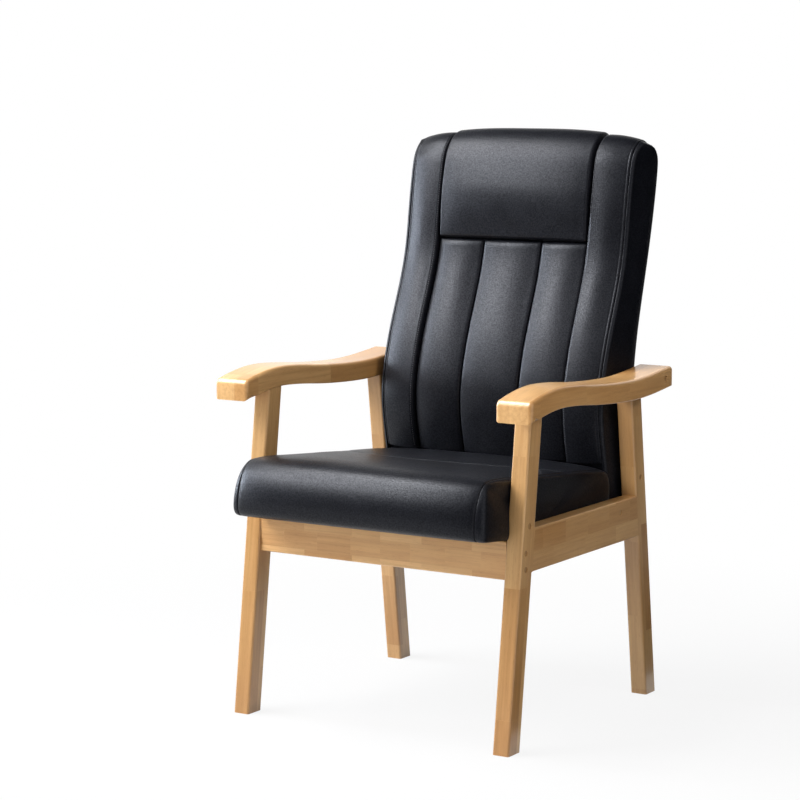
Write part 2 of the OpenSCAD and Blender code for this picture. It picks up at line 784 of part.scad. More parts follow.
module back_foam() {
    color("khaki") difference() {
        along_x(-core_x + fit, core_x - fit) polygon(concat(
            below_pads(foam_foot, pad_bottom, rear_cover_t + fit),
            [for (z = foam_face_zs) [back_base(z), z]], cap_line(0, 1, -rear_cover_t - fit),
            turned(back_line(bottom_rail_level, back_steps, board_far + fit))
        ));
        back_screws_at(overrun);
    }
}

module back_rear_cover() {
    low = back_bottom;
    floor_z = low + rear_cover_t;
    strip_top = pad_bottom - fit;
    color("dimgray") {
        along_x(-back_x + rear_cover_t, back_x - rear_cover_t) polygon(concat(
            [[back_base(low), low]], back_line(0, back_steps, 0),
            turned(cap_line(cap_end_share, 1, 0)), cap_line(cap_end_share, 1, -rear_cover_t),
            turned(back_line(1, back_steps, rear_cover_t)),
            [[back_rear(floor_z) - rear_cover_t, floor_z], [back_base(low), floor_z]]
        ));
        along_x(-core_x + fit, core_x - fit) polygon(concat(
            below_pads(low, strip_top, 0), turned(below_pads(low, strip_top, rear_cover_t))
        ));
    }
}

// Side panel: rows from its front edge to its rear edge, at the levels and over the top
panel_place_shares = [0, 0.12, 0.5, 0.88, 1];
panel_swell_shares = [0, 0.5, 1, 0.6, 0];
panel_top_shares = [0.14, 0.26, 0.36, 0.44];
panel_foot = back_bottom + rear_cover_t + fit;
panel_rows = concat(
    [for (i = [0:back_steps]) let (z = max(back_level(i), panel_foot))
        [[back_base(z) - pad_edge, z], [back_rear(z) - rear_cover_t - fit, z]]],
    [for (s = panel_top_shares)
        [cap_point(180 * s, pad_edge), cap_point(180 * (1 - s), -rear_cover_t - fit)]]
);

function panel_point(row, share, x) = let (p = row[0] + (row[1] - row[0]) * share) [x, p[0], p[1]];
function panel_out(j) =
    side_panel_splay * panel_place_shares[j] - side_panel_t * (1 - panel_swell_shares[j]) / 2;

module back_side_panel(side) {
    front_x = core_x + side_panel_t;
    inner = [for (row = panel_rows) [for (s = panel_place_shares) panel_point(row, s, core_x)]];
    outer = [for (row = panel_rows) [for (j = [0:len(panel_place_shares) - 1])
        panel_point(row, panel_place_shares[j], front_x + panel_out(j))]];
    color("dimgray") on_side(side) difference() {
        grid_solid(outer, inner);
        for (place = [lower_bolt_place, upper_bolt_place])
            rod(place, core_x - overrun, back_x + overrun, bolt_d + 2 * fit);
    }
}

// Line that the pads lie on, from height z0 up, and over the top if over is true
pad_end_share = 0.66;
pad_cap_steps = 8;
function pad_line(z0, z1, over) = concat(
    [z0, for (i = [0:back_steps]) if (back_level(i) > z0 + seam_gap && back_level(i) < z1 - seam_gap)
        back_level(i)],
    over ? [] : [z1]
);
function pad_base(z0, z1, over) = concat(
    [for (z = pad_line(z0, z1, over)) [back_base(z), z]],
    over ? [for (k = [0:pad_cap_steps]) cap_point(180 * pad_end_share * k / pad_cap_steps, 0)] : []
);
function way(p, q) = (q - p) / norm(q - p);
function forward_at(line, i) =
    let (w = way(line[max(i - 1, 0)], line[min(i + 1, len(line) - 1)])) [-w[1], w[0]];
function reach_to(line, i) = i == 0 ? 0 : reach_to(line, i - 1) + norm(line[i] - line[i - 1]);

// Height of a pad from 0 at a seam to 1 at its crown, at share u across and the way v to its ends
function swell(u) = (1 - abs(2 * u - 1) ^ 2.6) ^ 0.55;
function end_swell(along, from_end) =
    from_end >= along ? 1 : (1 - (1 - from_end / along) ^ 2) ^ 0.5;
pad_station_shares = [0, 0.04, 0.14, 0.32, 0.5, 0.68, 0.86, 0.96, 1];

// Pad from x0 to x1 on a base line, crown high, rounded over top_len at its upper end
module pad(x0, x1, line, crown, top_len) {
    total = reach_to(line, len(line) - 1);
    function height(i, u) =
        let (s = reach_to(line, i))
        pad_edge + (crown - pad_edge) * swell(u)
            * min(end_swell(pad_end_len, s), end_swell(top_len, total - s));
    function point(i, u, h) =
        let (p = line[i] + forward_at(line, i) * h) [x0 + (x1 - x0) * u, p[0], p[1]];
    front = [for (i = [0:len(line) - 1]) [for (u = pad_station_shares) point(i, u, height(i, u))]];
    back = [for (i = [0:len(line) - 1]) [for (u = pad_station_shares) point(i, u, fit)]];
    grid_solid(front, back);
}

half_gap = seam_gap / 2;

module back_channel(x0, x1) {
    color("dimgray") pad(x0 + half_gap, x1 - half_gap,
        pad_base(pad_bottom, pillow_seam - half_gap, false), channel_pad, pad_end_len);
}

module head_pillow() {
    color("dimgray") pad(half_gap - field_w / 2, field_w / 2 - half_gap,
        pad_base(pillow_seam + half_gap, back_shoulder, true), pillow_pad, pad_end_len);
}

module back_bolster(side) {
    color("dimgray") on_side(side) pad(field_w / 2 + half_gap, core_x - half_gap,
        pad_base(pad_bottom, back_shoulder, true), bolster_pad, bolster_top_len);
}

front_leg(left);  // front_leg_left
front_leg(right);  // front_leg_right
rear_leg(left);  // rear_leg_left
rear_leg(right);  // rear_leg_right
side_rail(left);  // side_rail_left
side_rail(right);  // side_rail_right
armrest(left);  // armrest_left
armrest(right);  // armrest_right
front_rail();
arm_dowels();
front_rail_bolts();
front_rail_barrel_nuts();
seat_bolts();
seat_insert_nuts();
back_bolts_lower();
back_bolts_upper();
back_insert_nuts();
bolt_plugs();
seat_side_batten(left);  // seat_batten_left
seat_side_batten(right);  // seat_batten_right
seat_cross_batten(batten_front);  // seat_batten_front
seat_cross_batten(batten_rear - batten_t);  // seat_batten_rear
seat_board();
seat_board_screws();
seat_cushion();
seat_dust_cover();
back_stile(left);  // back_stile_left
back_stile(right);  // back_stile_right
back_rail(bottom_rail_level);  // back_rail_bottom
back_rail(middle_rail_level);  // back_rail_middle
back_rail(top_rail_level);  // back_rail_top
back_board();
back_board_screws();
back_foam();
back_side_panel(left);  // back_side_panel_left
back_side_panel(right);  // back_side_panel_right
back_rear_cover();
head_pillow();
back_channel(-field_w / 2, -mid_channel_w / 2);  // back_channel_left
back_channel(-mid_channel_w / 2, mid_channel_w / 2);  // back_channel_center
back_channel(mid_channel_w / 2, field_w / 2);  // back_channel_right
back_bolster(left);  // back_bolster_left
back_bolster(right);  // back_bolster_right
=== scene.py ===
"""Upholstered conference chair: glued wooden side frames, leather seat and back."""
from bisect import bisect_right
from math import cos, exp, pi, radians, sin, sqrt, tan
import bmesh
import bpy
from mathutils import Matrix, Vector, noise
from mathutils.bvhtree import BVHTree


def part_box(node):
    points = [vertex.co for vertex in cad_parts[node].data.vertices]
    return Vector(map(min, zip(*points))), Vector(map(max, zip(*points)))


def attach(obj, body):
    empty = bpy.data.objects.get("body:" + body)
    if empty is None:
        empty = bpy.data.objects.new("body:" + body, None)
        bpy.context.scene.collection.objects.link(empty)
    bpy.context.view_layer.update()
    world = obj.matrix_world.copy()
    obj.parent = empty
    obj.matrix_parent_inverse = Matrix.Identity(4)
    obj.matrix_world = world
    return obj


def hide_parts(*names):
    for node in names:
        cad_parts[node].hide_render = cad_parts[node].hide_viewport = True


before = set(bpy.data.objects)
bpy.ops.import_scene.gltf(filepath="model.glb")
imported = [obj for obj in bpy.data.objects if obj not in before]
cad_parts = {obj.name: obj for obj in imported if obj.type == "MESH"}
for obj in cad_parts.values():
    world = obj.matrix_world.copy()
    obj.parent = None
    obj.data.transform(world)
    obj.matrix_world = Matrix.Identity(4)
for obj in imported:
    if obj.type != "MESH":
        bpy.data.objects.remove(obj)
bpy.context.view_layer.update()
MM = 0.001
LEFT = -1
RIGHT = 1
SIDES = {LEFT: "left", RIGHT: "right"}


# Camera

CAMERA_PLACE = (2.4163, -3.9989, 1.1783)
CAMERA_DOWN = radians(7.316)
CAMERA_TURN = radians(32.27)
CAMERA_LENS = 112.95


def place_camera():
    """Camera solved from the chair's straight edges in the photo."""
    camera = bpy.data.objects.new("camera", bpy.data.cameras.new("camera"))
    bpy.context.scene.collection.objects.link(camera)
    camera.location = CAMERA_PLACE
    camera.rotation_euler = (radians(90) - CAMERA_DOWN, 0, CAMERA_TURN)
    camera.data.lens = CAMERA_LENS
    camera.data.sensor_width = 36
    bpy.context.scene.camera = camera
    bpy.context.scene.view_settings.view_transform = "Standard"


# Material helpers

def new_material(name):
    """Empty material and its shader, as the material, its tree and the shader."""
    material = bpy.data.materials.new(name)
    material.use_nodes = True
    tree = material.node_tree
    return material, tree, tree.nodes["Principled BSDF"]


def add(tree, kind, sockets=None, **settings):
    """Adds a node, with values or links for its sockets."""
    made = tree.nodes.new("ShaderNode" + kind)
    for name, value in settings.items():
        setattr(made, name, value)
    for name, value in (sockets or {}).items():
        if isinstance(value, bpy.types.NodeSocket):
            tree.links.new(value, made.inputs[name])
        else:
            made.inputs[name].default_value = value
    return made


def calculate(tree, operation, first, second=0.0, third=0.0):
    made = add(tree, "Math", {0: first, 1: second, 2: third}, operation=operation)
    return made.outputs[0]


def multiplied(tree, share, first, second):
    """First colour multiplied by the second, to a share."""
    sockets = {"Fac": share, "Color1": first, "Color2": second}
    return add(tree, "MixRGB", sockets, blend_type="MULTIPLY").outputs[0]


def ramp(tree, factor, *stops):
    """Colour ramp whose stops are pairs of a place and a colour."""
    made = add(tree, "ValToRGB", {"Fac": factor})
    elements = made.color_ramp.elements
    while len(elements) < len(stops):
        elements.new(0.5)
    for element, (place, color) in zip(elements, stops):
        element.position = place
        element.color = color
    return made.outputs["Color"]


def grey(value):
    return (value, value, value, 1)


def object_place(tree):
    return add(tree, "TexCoord").outputs["Object"]


def noise_at(tree, vector, scale, detail, roughness=0.5):
    sockets = {"Vector": vector, "Scale": scale, "Detail": detail, "Roughness": roughness}
    return add(tree, "TexNoise", sockets).outputs["Fac"]


def stretched(tree, vector, scale):
    return add(tree, "Mapping", {"Vector": vector, "Scale": scale}).outputs[0]


def bump(tree, shader, height, strength, distance):
    sockets = {"Height": height, "Strength": strength, "Distance": distance}
    tree.links.new(add(tree, "Bump", sockets).outputs[0], shader.inputs["Normal"])


# Wood

HONEY_LIGHT = (0.700, 0.432, 0.192, 1)
HONEY_DARK = (0.470, 0.238, 0.080, 1)
FRONT_LEAN = tan(radians(7.1))
REAR_LEAN = -tan(radians(7.3))
STAVE_LENGTH = 190 * MM
STAVE_HEIGHT = 37 * MM
SIDE_SHIFT = 83 * MM


def along_grain(tree, along, across, lean):
    """Places with the grain along X and the staves' heights along Y, shifted on each side."""
    place = add(tree, "SeparateXYZ", {0: object_place(tree)}).outputs
    side = calculate(tree, "MULTIPLY", calculate(tree, "SIGN", place["X"]), SIDE_SHIFT)
    leaned = calculate(tree, "MULTIPLY_ADD", place["Z"], -lean, place["Y"])
    axes = {"X": place["X"], "Y": leaned, "Z": place["Z"]}
    depth = ({"X", "Y", "Z"} - {along, across}).pop()
    sockets = {"X": calculate(tree, "ADD", axes[along], side), "Y": axes[across], "Z": axes[depth]}
    return add(tree, "CombineXYZ", sockets).outputs[0]


def with_painted_light(color, painted_light):
    """Colour made darker or lighter by a factor, as painted shade or painted light."""
    return tuple(channel * painted_light for channel in color[:3]) + (1,)


def wood(name, along, across, lean=0.0, length=STAVE_LENGTH, height=STAVE_HEIGHT, painted_light=1.0):
    """Clear-lacquered rubberwood of finger-jointed staves, its colours scaled by a factor of painted
    light or painted shade.
    """
    material, tree, shader = new_material(name)
    place = along_grain(tree, along, across, lean)
    staves = add(tree, "TexBrick", {
        "Vector": place, "Color1": grey(0), "Color2": grey(1), "Mortar": grey(0.25), "Scale": 1,
        "Mortar Size": 0.12 * MM, "Mortar Smooth": 0.6, "Bias": 0, "Brick Width": length,
        "Row Height": height}, offset=0.37, offset_frequency=2, squash=0.7, squash_frequency=3)
    shift = add(tree, "VectorMath", {0: staves.outputs["Color"], 1: (0.9, 0.7, 0.8)},
                operation="MULTIPLY").outputs[0]
    place = add(tree, "VectorMath", {0: place, 1: shift}, operation="ADD").outputs[0]
    tone = noise_at(tree, stretched(tree, place, (3, 9, 9)), 1, 2)
    blend = calculate(tree, "MULTIPLY_ADD", staves.outputs["Color"], 0.88, calculate(
        tree, "MULTIPLY_ADD", tone, 1.5, -0.68))
    color = ramp(tree, blend, (0.0, with_painted_light(HONEY_LIGHT, painted_light)), (1.0, with_painted_light(HONEY_DARK, painted_light)))
    streaks = noise_at(tree, stretched(tree, place, (5, 150, 150)), 1, 5, 0.62)
    color = multiplied(tree, 0.55, color, ramp(
        tree, streaks, (0.3, (0.66, 0.58, 0.48, 1)), (0.62, grey(1))))
    pores = noise_at(tree, stretched(tree, place, (70, 1300, 1300)), 1, 2)
    flecks = ramp(tree, pores, (0.62, grey(1)), (0.7, (0.62, 0.5, 0.38, 1)))
    color = multiplied(tree, 0.5, color, flecks)
    tree.links.new(color, shader.inputs["Base Color"])
    tree.links.new(calculate(tree, "MULTIPLY_ADD", streaks, 0.16, 0.24), shader.inputs["Roughness"])
    shader.inputs["Coat Weight"].default_value = 0.45
    shader.inputs["Coat Roughness"].default_value = 0.16
    bump(tree, shader, calculate(tree, "SUBTRACT", streaks, pores), 0.12, 0.3 * MM)
    return material


# Leather and thread

LEATHER_LIGHT = (0.0070, 0.0075, 0.0105, 1)
LEATHER_DARK = (0.0025, 0.0027, 0.0040, 1)


def leather():
    """Black coated leather with a fine pebble grain."""
    material, tree, shader = new_material("black_leather")
    place = object_place(tree)
    cells = add(tree, "TexVoronoi", {"Vector": place, "Scale": 560, "Smoothness": 0.5},
                feature="SMOOTH_F1")
    pebbles = calculate(tree, "SUBTRACT", 1.0, cells.outputs["Distance"])
    wear = noise_at(tree, place, 26, 4)
    grain = noise_at(tree, place, 340, 1)
    color = ramp(tree, calculate(tree, "MULTIPLY_ADD", wear, 0.45, calculate(
        tree, "MULTIPLY", pebbles, 0.6)), (0.25, LEATHER_DARK), (0.85, LEATHER_LIGHT))
    tree.links.new(color, shader.inputs["Base Color"])
    rough = calculate(tree, "MULTIPLY_ADD", wear, 0.08, calculate(
        tree, "MULTIPLY_ADD", grain, 0.2, 0.26))
    tree.links.new(rough, shader.inputs["Roughness"])
    sheen = ramp(tree, noise_at(tree, place, 420, 0), (0.3, grey(0.18)), (0.7, grey(0.32)))
    tree.links.new(sheen, shader.inputs["Specular IOR Level"])
    shader.inputs["Specular Tint"].default_value = (0.88, 0.91, 1, 1)
    height = calculate(tree, "MULTIPLY_ADD", grain, 1.3, calculate(tree, "MULTIPLY", pebbles, 0.4))
    bump(tree, shader, height, 1.0, 0.17 * MM)
    return material


def thread_material():
    material, tree, shader = new_material("grey_thread")
    twist = add(tree, "TexWave", {"Vector": object_place(tree), "Scale": 900, "Distortion": 2})
    color = ramp(tree, twist.outputs["Fac"], (0.2, (0.05, 0.052, 0.06, 1)),
                 (0.9, (0.13, 0.135, 0.15, 1)))
    tree.links.new(color, shader.inputs["Base Color"])
    tree.links.new(calculate(tree, "MULTIPLY_ADD", twist.outputs["Fac"], 0.2, 0.5),
                   shader.inputs["Roughness"])
    bump(tree, shader, twist.outputs["Fac"], 0.3, 0.1 * MM)
    return material


# Materials of the inner pieces

def steel():
    material, tree, shader = new_material("zinc_plated_steel")
    place = object_place(tree)
    brushed = noise_at(tree, stretched(tree, place, (60, 900, 900)), 1, 4)
    tree.links.new(ramp(tree, brushed, (0.3, (0.50, 0.50, 0.48, 1)), (0.7, (0.66, 0.66, 0.64, 1))),
                   shader.inputs["Base Color"])
    tree.links.new(calculate(tree, "MULTIPLY_ADD", brushed, 0.25, 0.25), shader.inputs["Roughness"])
    shader.inputs["Metallic"].default_value = 1
    bump(tree, shader, brushed, 0.15, 0.1 * MM)
    return material


def plywood():
    material, tree, shader = new_material("plywood")
    place = object_place(tree)
    plies = add(tree, "TexWave", {"Vector": place, "Scale": 105, "Distortion": 0.6},
                bands_direction="Z")
    grain = noise_at(tree, stretched(tree, place, (6, 130, 130)), 1, 5)
    blend = calculate(tree, "MULTIPLY_ADD", plies.outputs["Fac"], 0.3, grain)
    tree.links.new(ramp(tree, blend, (0.35, (0.42, 0.27, 0.14, 1)), (0.9, (0.64, 0.47, 0.28, 1))),
                   shader.inputs["Base Color"])
    tree.links.new(calculate(tree, "MULTIPLY_ADD", grain, 0.2, 0.6), shader.inputs["Roughness"])
    bump(tree, shader, grain, 0.25, 0.3 * MM)
    return material


def foam():
    material, tree, shader = new_material("foam")
    place = object_place(tree)
    cells = add(tree, "TexVoronoi", {"Vector": place, "Scale": 420}).outputs["Distance"]
    mottle = noise_at(tree, place, 18, 4)
    tree.links.new(ramp(tree, mottle, (0.3, (0.62, 0.58, 0.44, 1)), (0.7, (0.75, 0.72, 0.58, 1))),
                   shader.inputs["Base Color"])
    tree.links.new(calculate(tree, "MULTIPLY_ADD", cells, 0.1, 0.85), shader.inputs["Roughness"])
    bump(tree, shader, cells, 0.6, 0.6 * MM)
    return material


def dust_cloth():
    material, tree, shader = new_material("dust_cloth")
    place = object_place(tree)
    warp = add(tree, "TexWave", {"Vector": place, "Scale": 310}, bands_direction="X")
    weft = add(tree, "TexWave", {"Vector": place, "Scale": 310}, bands_direction="Y")
    weave = calculate(tree, "MULTIPLY", warp.outputs["Fac"], weft.outputs["Fac"])
    tree.links.new(ramp(tree, weave, (0.1, grey(0.012)), (0.8, grey(0.035))),
                   shader.inputs["Base Color"])
    tree.links.new(calculate(tree, "MULTIPLY_ADD", weave, -0.1, 0.9), shader.inputs["Roughness"])
    bump(tree, shader, weave, 0.5, 0.3 * MM)
    return material


# The factors on these woods are painted light: the front rail is made lighter against the shadow the
# seat casts on it, and the legs and side rails are made darker as painted shade of their lower and
# side-facing faces.
FRONT_LEG_WOOD = wood("front_leg_wood", "Z", "Y", FRONT_LEAN, 230 * MM, painted_light=0.92)
REAR_LEG_WOOD = wood("rear_leg_wood", "Z", "Y", REAR_LEAN, 210 * MM, painted_light=0.88)
# The plugs are darker partly as end grain and partly as painted shade of the recesses they sit in.
PLUG_WOOD = wood("plug_wood", "Y", "Z", painted_light=0.62)
ARM_WOOD = wood("armrest_wood", "Y", "X", 0.0, 240 * MM, 36.5 * MM)
SIDE_RAIL_WOOD = wood("side_rail_wood", "Y", "Z", 0.0, 120 * MM, 39 * MM, painted_light=0.9)
FRONT_RAIL_WOOD = wood("front_rail_wood", "X", "Z", 0.0, 105 * MM, 35 * MM, painted_light=1.14)
LEATHER = leather()
THREAD = thread_material()


# Making pieces

CORNER_ANGLE = radians(50)
SHARP_ANGLE = radians(38)


def mesh_object(name, bm, material=None):
    """Turns a bmesh into an object of the scene."""
    mesh = bpy.data.meshes.new(name)
    bm.to_mesh(mesh)
    bm.free()
    if material:
        mesh.materials.append(material)
    made = bpy.data.objects.new(name, mesh)
    bpy.context.scene.collection.objects.link(made)
    return made


def new_piece(name, bm, material, slot, *replaced):
    """Turns a bmesh into a piece of the chair that stands for the nodes it replaces."""
    piece = mesh_object(name, bm, material)
    for face in piece.data.polygons:
        face.use_smooth = True
    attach(piece, "root")
    if replaced:
        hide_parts(*replaced)
    return piece


def copy_of(node):
    """Merged copy of a node's mesh, with its flat faces whole."""
    bm = bmesh.new()
    bm.from_mesh(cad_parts[node].data)
    bmesh.ops.remove_doubles(bm, verts=bm.verts, dist=0.01 * MM)
    bmesh.ops.dissolve_limit(bm, angle_limit=radians(0.2), verts=bm.verts, edges=bm.edges,
                             use_dissolve_boundaries=False)
    return bm


def round_edges(bm, edges, radius, segments):
    bmesh.ops.bevel(bm, geom=edges, offset=radius, segments=segments, affect="EDGES", profile=0.5,
                    material=-1, clamp_overlap=False)


def is_corner(edge):
    return len(edge.link_faces) == 2 and edge.calc_face_angle() > CORNER_ANGLE


def middle(edge):
    return (edge.verts[0].co + edge.verts[1].co) / 2


def way(edge):
    return (edge.verts[1].co - edge.verts[0].co).normalized()


def finish_wood(name, bm, material):
    """Wooden piece whose flat faces stay flat beside its rounded edges."""
    piece = new_piece(name, bm, material, "frame_wood", name)
    piece.data.set_sharp_from_angle(angle=SHARP_ANGLE)
    weighted = piece.modifiers.new("flat_faces", "WEIGHTED_NORMAL")
    weighted.keep_sharp = True


# Armrests and rails

ARM_TOP_R = 7.5 * MM
ARM_UNDER_R = 2 * MM
ARM_NOSE = 13 * MM
RAIL_R = 3 * MM
HOLE_CLEAR = 7 * MM


def plug_places(side):
    """Middles of the bolt plugs on one side."""
    bm = bmesh.new()
    bm.from_mesh(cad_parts["bolt_plugs"].data)
    bmesh.ops.remove_doubles(bm, verts=bm.verts, dist=0.01 * MM)
    places = []
    unseen = {vert for vert in bm.verts if vert.co.x * side > 0}
    while unseen:
        island = [unseen.pop()]
        for vert in island:
            for edge in vert.link_edges:
                other = edge.other_vert(vert)
                if other in unseen:
                    unseen.discard(other)
                    island.append(other)
        total = sum((vert.co for vert in island), Vector())
        places.append(total / len(island))
    bm.free()
    return places


def armrest(side):
    """Armrest with a rounder edge above than below, and square edges at its holes."""
    name = "armrest_" + SIDES[side]
    bm = copy_of(name)
    low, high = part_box(name)
    holes = [place for place in plug_places(side) if place.z > low.z]

    def on_outline(edge):
        mid = middle(edge)
        on_face = min(abs(mid.x - low.x), abs(mid.x - high.x)) < 0.1 * MM
        bored = any((mid - hole).yz.length < HOLE_CLEAR for hole in holes)
        return is_corner(edge) and on_face and not bored

    def is_upper(edge):
        faces_up = sum(face.normal.z for face in edge.link_faces) > 0.1
        return faces_up or middle(edge).y < low.y + ARM_NOSE

    outline = [edge for edge in bm.edges if on_outline(edge)]
    upper = [edge for edge in outline if is_upper(edge)]
    under = [edge for edge in outline if not is_upper(edge)]
    round_edges(bm, upper, ARM_TOP_R, 6)
    under = [edge for edge in under if edge.is_valid]
    round_edges(bm, under, ARM_UNDER_R, 4)
    finish_wood(name, bm, ARM_WOOD)


def rail(name, axis, least_length, material):
    """Rail whose long edges are rounded and whose ends stay square."""
    bm = copy_of(name)
    low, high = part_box(name)
    across = 1 - axis

    def is_long_edge(edge):
        at_face = min(abs(middle(edge)[across] - low[across]),
                      abs(middle(edge)[across] - high[across])) < 0.2 * MM
        lies_along = abs(way(edge)[axis]) > 0.98 and edge.calc_length() > least_length
        return is_corner(edge) and lies_along and (at_face or axis == 0)

    round_edges(bm, [edge for edge in bm.edges if is_long_edge(edge)], RAIL_R, 4)
    finish_wood(name, bm, material)


# Lines of the back

SHOULDER_Z = 1010 * MM
CAP_CENTRE = Vector((0, 309.3 * MM, SHOULDER_Z))
CAP_TURN = radians(118)
LEVELS = 22
TURN_STEPS = 14
CAST_FROM = 0.3
FRONT = -1
REAR = 1
PILLOW_SEAM_Z = 866 * MM
SEAM_DEPTH = 4 * MM
PAD_REAR = 6.7 * MM


def caster(node):
    """Ray caster against a node's solid."""
    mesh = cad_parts[node].data
    points = [vert.co.copy() for vert in mesh.vertices]
    return BVHTree.FromPolygons(points, [tuple(face.vertices) for face in mesh.polygons]).ray_cast


class Line:
    """Smooth line in a plane across X, with places measured along it."""

    def __init__(self, points):
        self.points = points
        self.reach = [0.0]
        for before, after in zip(points, points[1:]):
            self.reach.append(self.reach[-1] + (after - before).length)
        self.length = self.reach[-1]

    def place(self, distance):
        """Point at a distance along the line, and the way out of its front there."""
        i = min(max(bisect_right(self.reach, distance) - 1, 0), len(self.points) - 2)
        before, after = self.points[i], self.points[i + 1]
        earlier = self.points[max(i - 1, 0)]
        later = self.points[min(i + 2, len(self.points) - 1)]
        step = self.reach[i + 1] - self.reach[i]
        share = (distance - self.reach[i]) / step
        leave = (after - earlier) * step / (self.reach[i + 1] - self.reach[max(i - 1, 0)])
        arrive = (later - before) * step / (
            self.reach[min(i + 2, len(self.points) - 1)] - self.reach[i])
        bend = 3 * (after - before) - 2 * leave - arrive
        close = leave + arrive - 2 * (after - before)
        point = before + leave * share + bend * share ** 2 + close * share ** 3
        ahead = (leave + 2 * bend * share + 3 * close * share ** 2).normalized()
        return point, Vector((0, -ahead.z, ahead.y))

    def distance_at(self, z):
        """Distance along the line where it first reaches a height."""
        for i in range(len(self.points) - 1):
            low, high = self.points[i].z, self.points[i + 1].z
            if low <= z <= high:
                return self.reach[i] + (self.reach[i + 1] - self.reach[i]) * (z - low) / (high - low)
        return self.length


def smoothed(points, passes=2):
    for _ in range(passes):
        inner = [(a + 2 * b + c) / 4 for a, b, c in zip(points, points[1:], points[2:])]
        points = [points[0]] + inner + [points[-1]]
    return points


def flat_line(points):
    """Smooth line through the places of some points in the plane across X."""
    return Line(smoothed([Vector((0, point.y, point.z)) for point in points]))


def turned_out(angle):
    """Way out of the turned-over top, from the front over the top to the rear."""
    return Vector((0, -cos(angle), sin(angle)))


def around_back(cast, x, angle):
    """Point of a solid at x, seen from an angle of the turned-over top."""
    out = turned_out(angle)
    return cast(CAP_CENTRE + Vector((x, 0, 0)) + out * CAST_FROM, -out)[0]


def at_height(cast, x, z, side_y):
    """Point of a solid at x and a height, seen from the front or the rear."""
    return cast(Vector((x, side_y, z)), Vector((0, -side_y, 0)))[0]


def groove_line():
    """Seam beside the head pillow, from the seat up and over the top of the back."""
    node = "back_bolster_right"
    cast = caster(node)
    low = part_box(node)[0]
    x = low.x + 0.05 * MM
    bottom = low.z + 0.4 * MM
    heights = [bottom + (SHOULDER_Z - bottom) * i / LEVELS for i in range(LEVELS + 1)]
    turns = [CAP_TURN * i / TURN_STEPS for i in range(1, TURN_STEPS + 1)]
    points = [at_height(cast, x, z, FRONT) for z in heights]
    return flat_line(points + [around_back(cast, x, turn) for turn in turns])


GROOVE = groove_line()
PILLOW_START = GROOVE.distance_at(PILLOW_SEAM_Z)


# Padded shells

SHOULDER = 6.5 * MM
BOLSTER_EDGE = 2.5 * MM
BOLSTER_LEAST = 0.25
PILLOW_FOOT = 7 * MM
PILLOW_FILLED = 105 * MM
PILLOW_THINS = (80 * MM, 75 * MM)
BACK_HALF = 266 * MM
CORNER_R = 32 * MM
CORNER_START = 995 * MM
CORNER_HEIGHT = 60 * MM
PUCKER_PITCH = 9 * MM
PUCKER_REACH = 7 * MM
PUCKER_RISE = 0.45 * MM


def eased(share):
    """Share of a way whose steps are short at both ends."""
    return 0.5 - 0.5 * cos(pi * share)


def swell(share, width, edge, fullness):
    """Crown across a pad, from its share beside the seams to the full one in the middle."""
    beside = min(share, 1 - share) * width
    crown = edge + (1 - edge) * (1 - abs(2 * share - 1) ** fullness)
    return crown * end_swell(SHOULDER, beside)


def bolster_swell(share, width):
    """Crown across a bolster, falling from its crest by the pillow to its outer edge."""
    beside, beyond = share * width, (1 - share) * width
    fall = BOLSTER_LEAST + (1 - BOLSTER_LEAST) * cos(pi / 2 * share ** 1.3)
    return end_swell(SHOULDER, beside) * fall * end_swell(BOLSTER_EDGE, beyond)


def smooth_step(share):
    """Share that leaves 0 and reaches 1 without a kink."""
    share = min(max(share, 0), 1)
    return share * share * (3 - 2 * share)


def pillow_fullness(distance):
    """Share of the pillow's crown at a distance above its lower seam."""
    start, reach = PILLOW_THINS
    low = 0.42 * max(1 - distance / PILLOW_FILLED, 0) ** 1.7
    high = 0.08 * smooth_step((distance - start) / reach)
    return (1 - low - high) * end_swell(PILLOW_FOOT, distance)


def corner_drop(x, z):
    """How far the rounded upper corners of the back lie below its square outline."""
    into = min(abs(x) - (BACK_HALF - CORNER_R), CORNER_R)
    if into <= 0:
        return 0.0
    drop = CORNER_R - sqrt(CORNER_R ** 2 - into ** 2)
    return drop * smooth_step((z - CORNER_START) / CORNER_HEIGHT)


def end_swell(length, distance):
    """Crown beside a seam at the end of a pad."""
    return 1.0 if distance >= length else (1 - (1 - distance / length) ** 2.6) ** 0.5


def pucker(distance, along, seed):
    """Small gathers beside a seam, at a distance from it and a place along it."""
    wave = noise.noise(Vector((along / PUCKER_PITCH, seed, 0.5)))
    return PUCKER_RISE * wave * exp(-distance / PUCKER_REACH)


def closed_shell(columns, rows, front, rear):
    """Closed pad between a front and a rear surface, given as points at two shares."""
    bm = bmesh.new()
    bmesh.ops.create_grid(bm, x_segments=columns, y_segments=rows, size=0.5)
    made = bmesh.ops.extrude_face_region(bm, geom=bm.faces[:], use_keep_orig=True)
    fronts = {part for part in made["geom"] if isinstance(part, bmesh.types.BMVert)}
    for vert in bm.verts:
        across, along = eased(vert.co.x + 0.5), eased(vert.co.y + 0.5)
        vert.co = front(across, along) if vert in fronts else rear(across, along)
    bmesh.ops.recalc_face_normals(bm, faces=bm.faces)
    return bm


# Cloth

CLOTH_FRAMES = 20
EVENING_PASSES = 6
PAD_PRESSURE = 4.0
SEAT_PRESSURE = 3.0
MOST_RISE = 16 * MM
CLOTH_COLUMN = 7 * MM
CLOTH_ROW = 9 * MM
LEAST_CELLS = 12


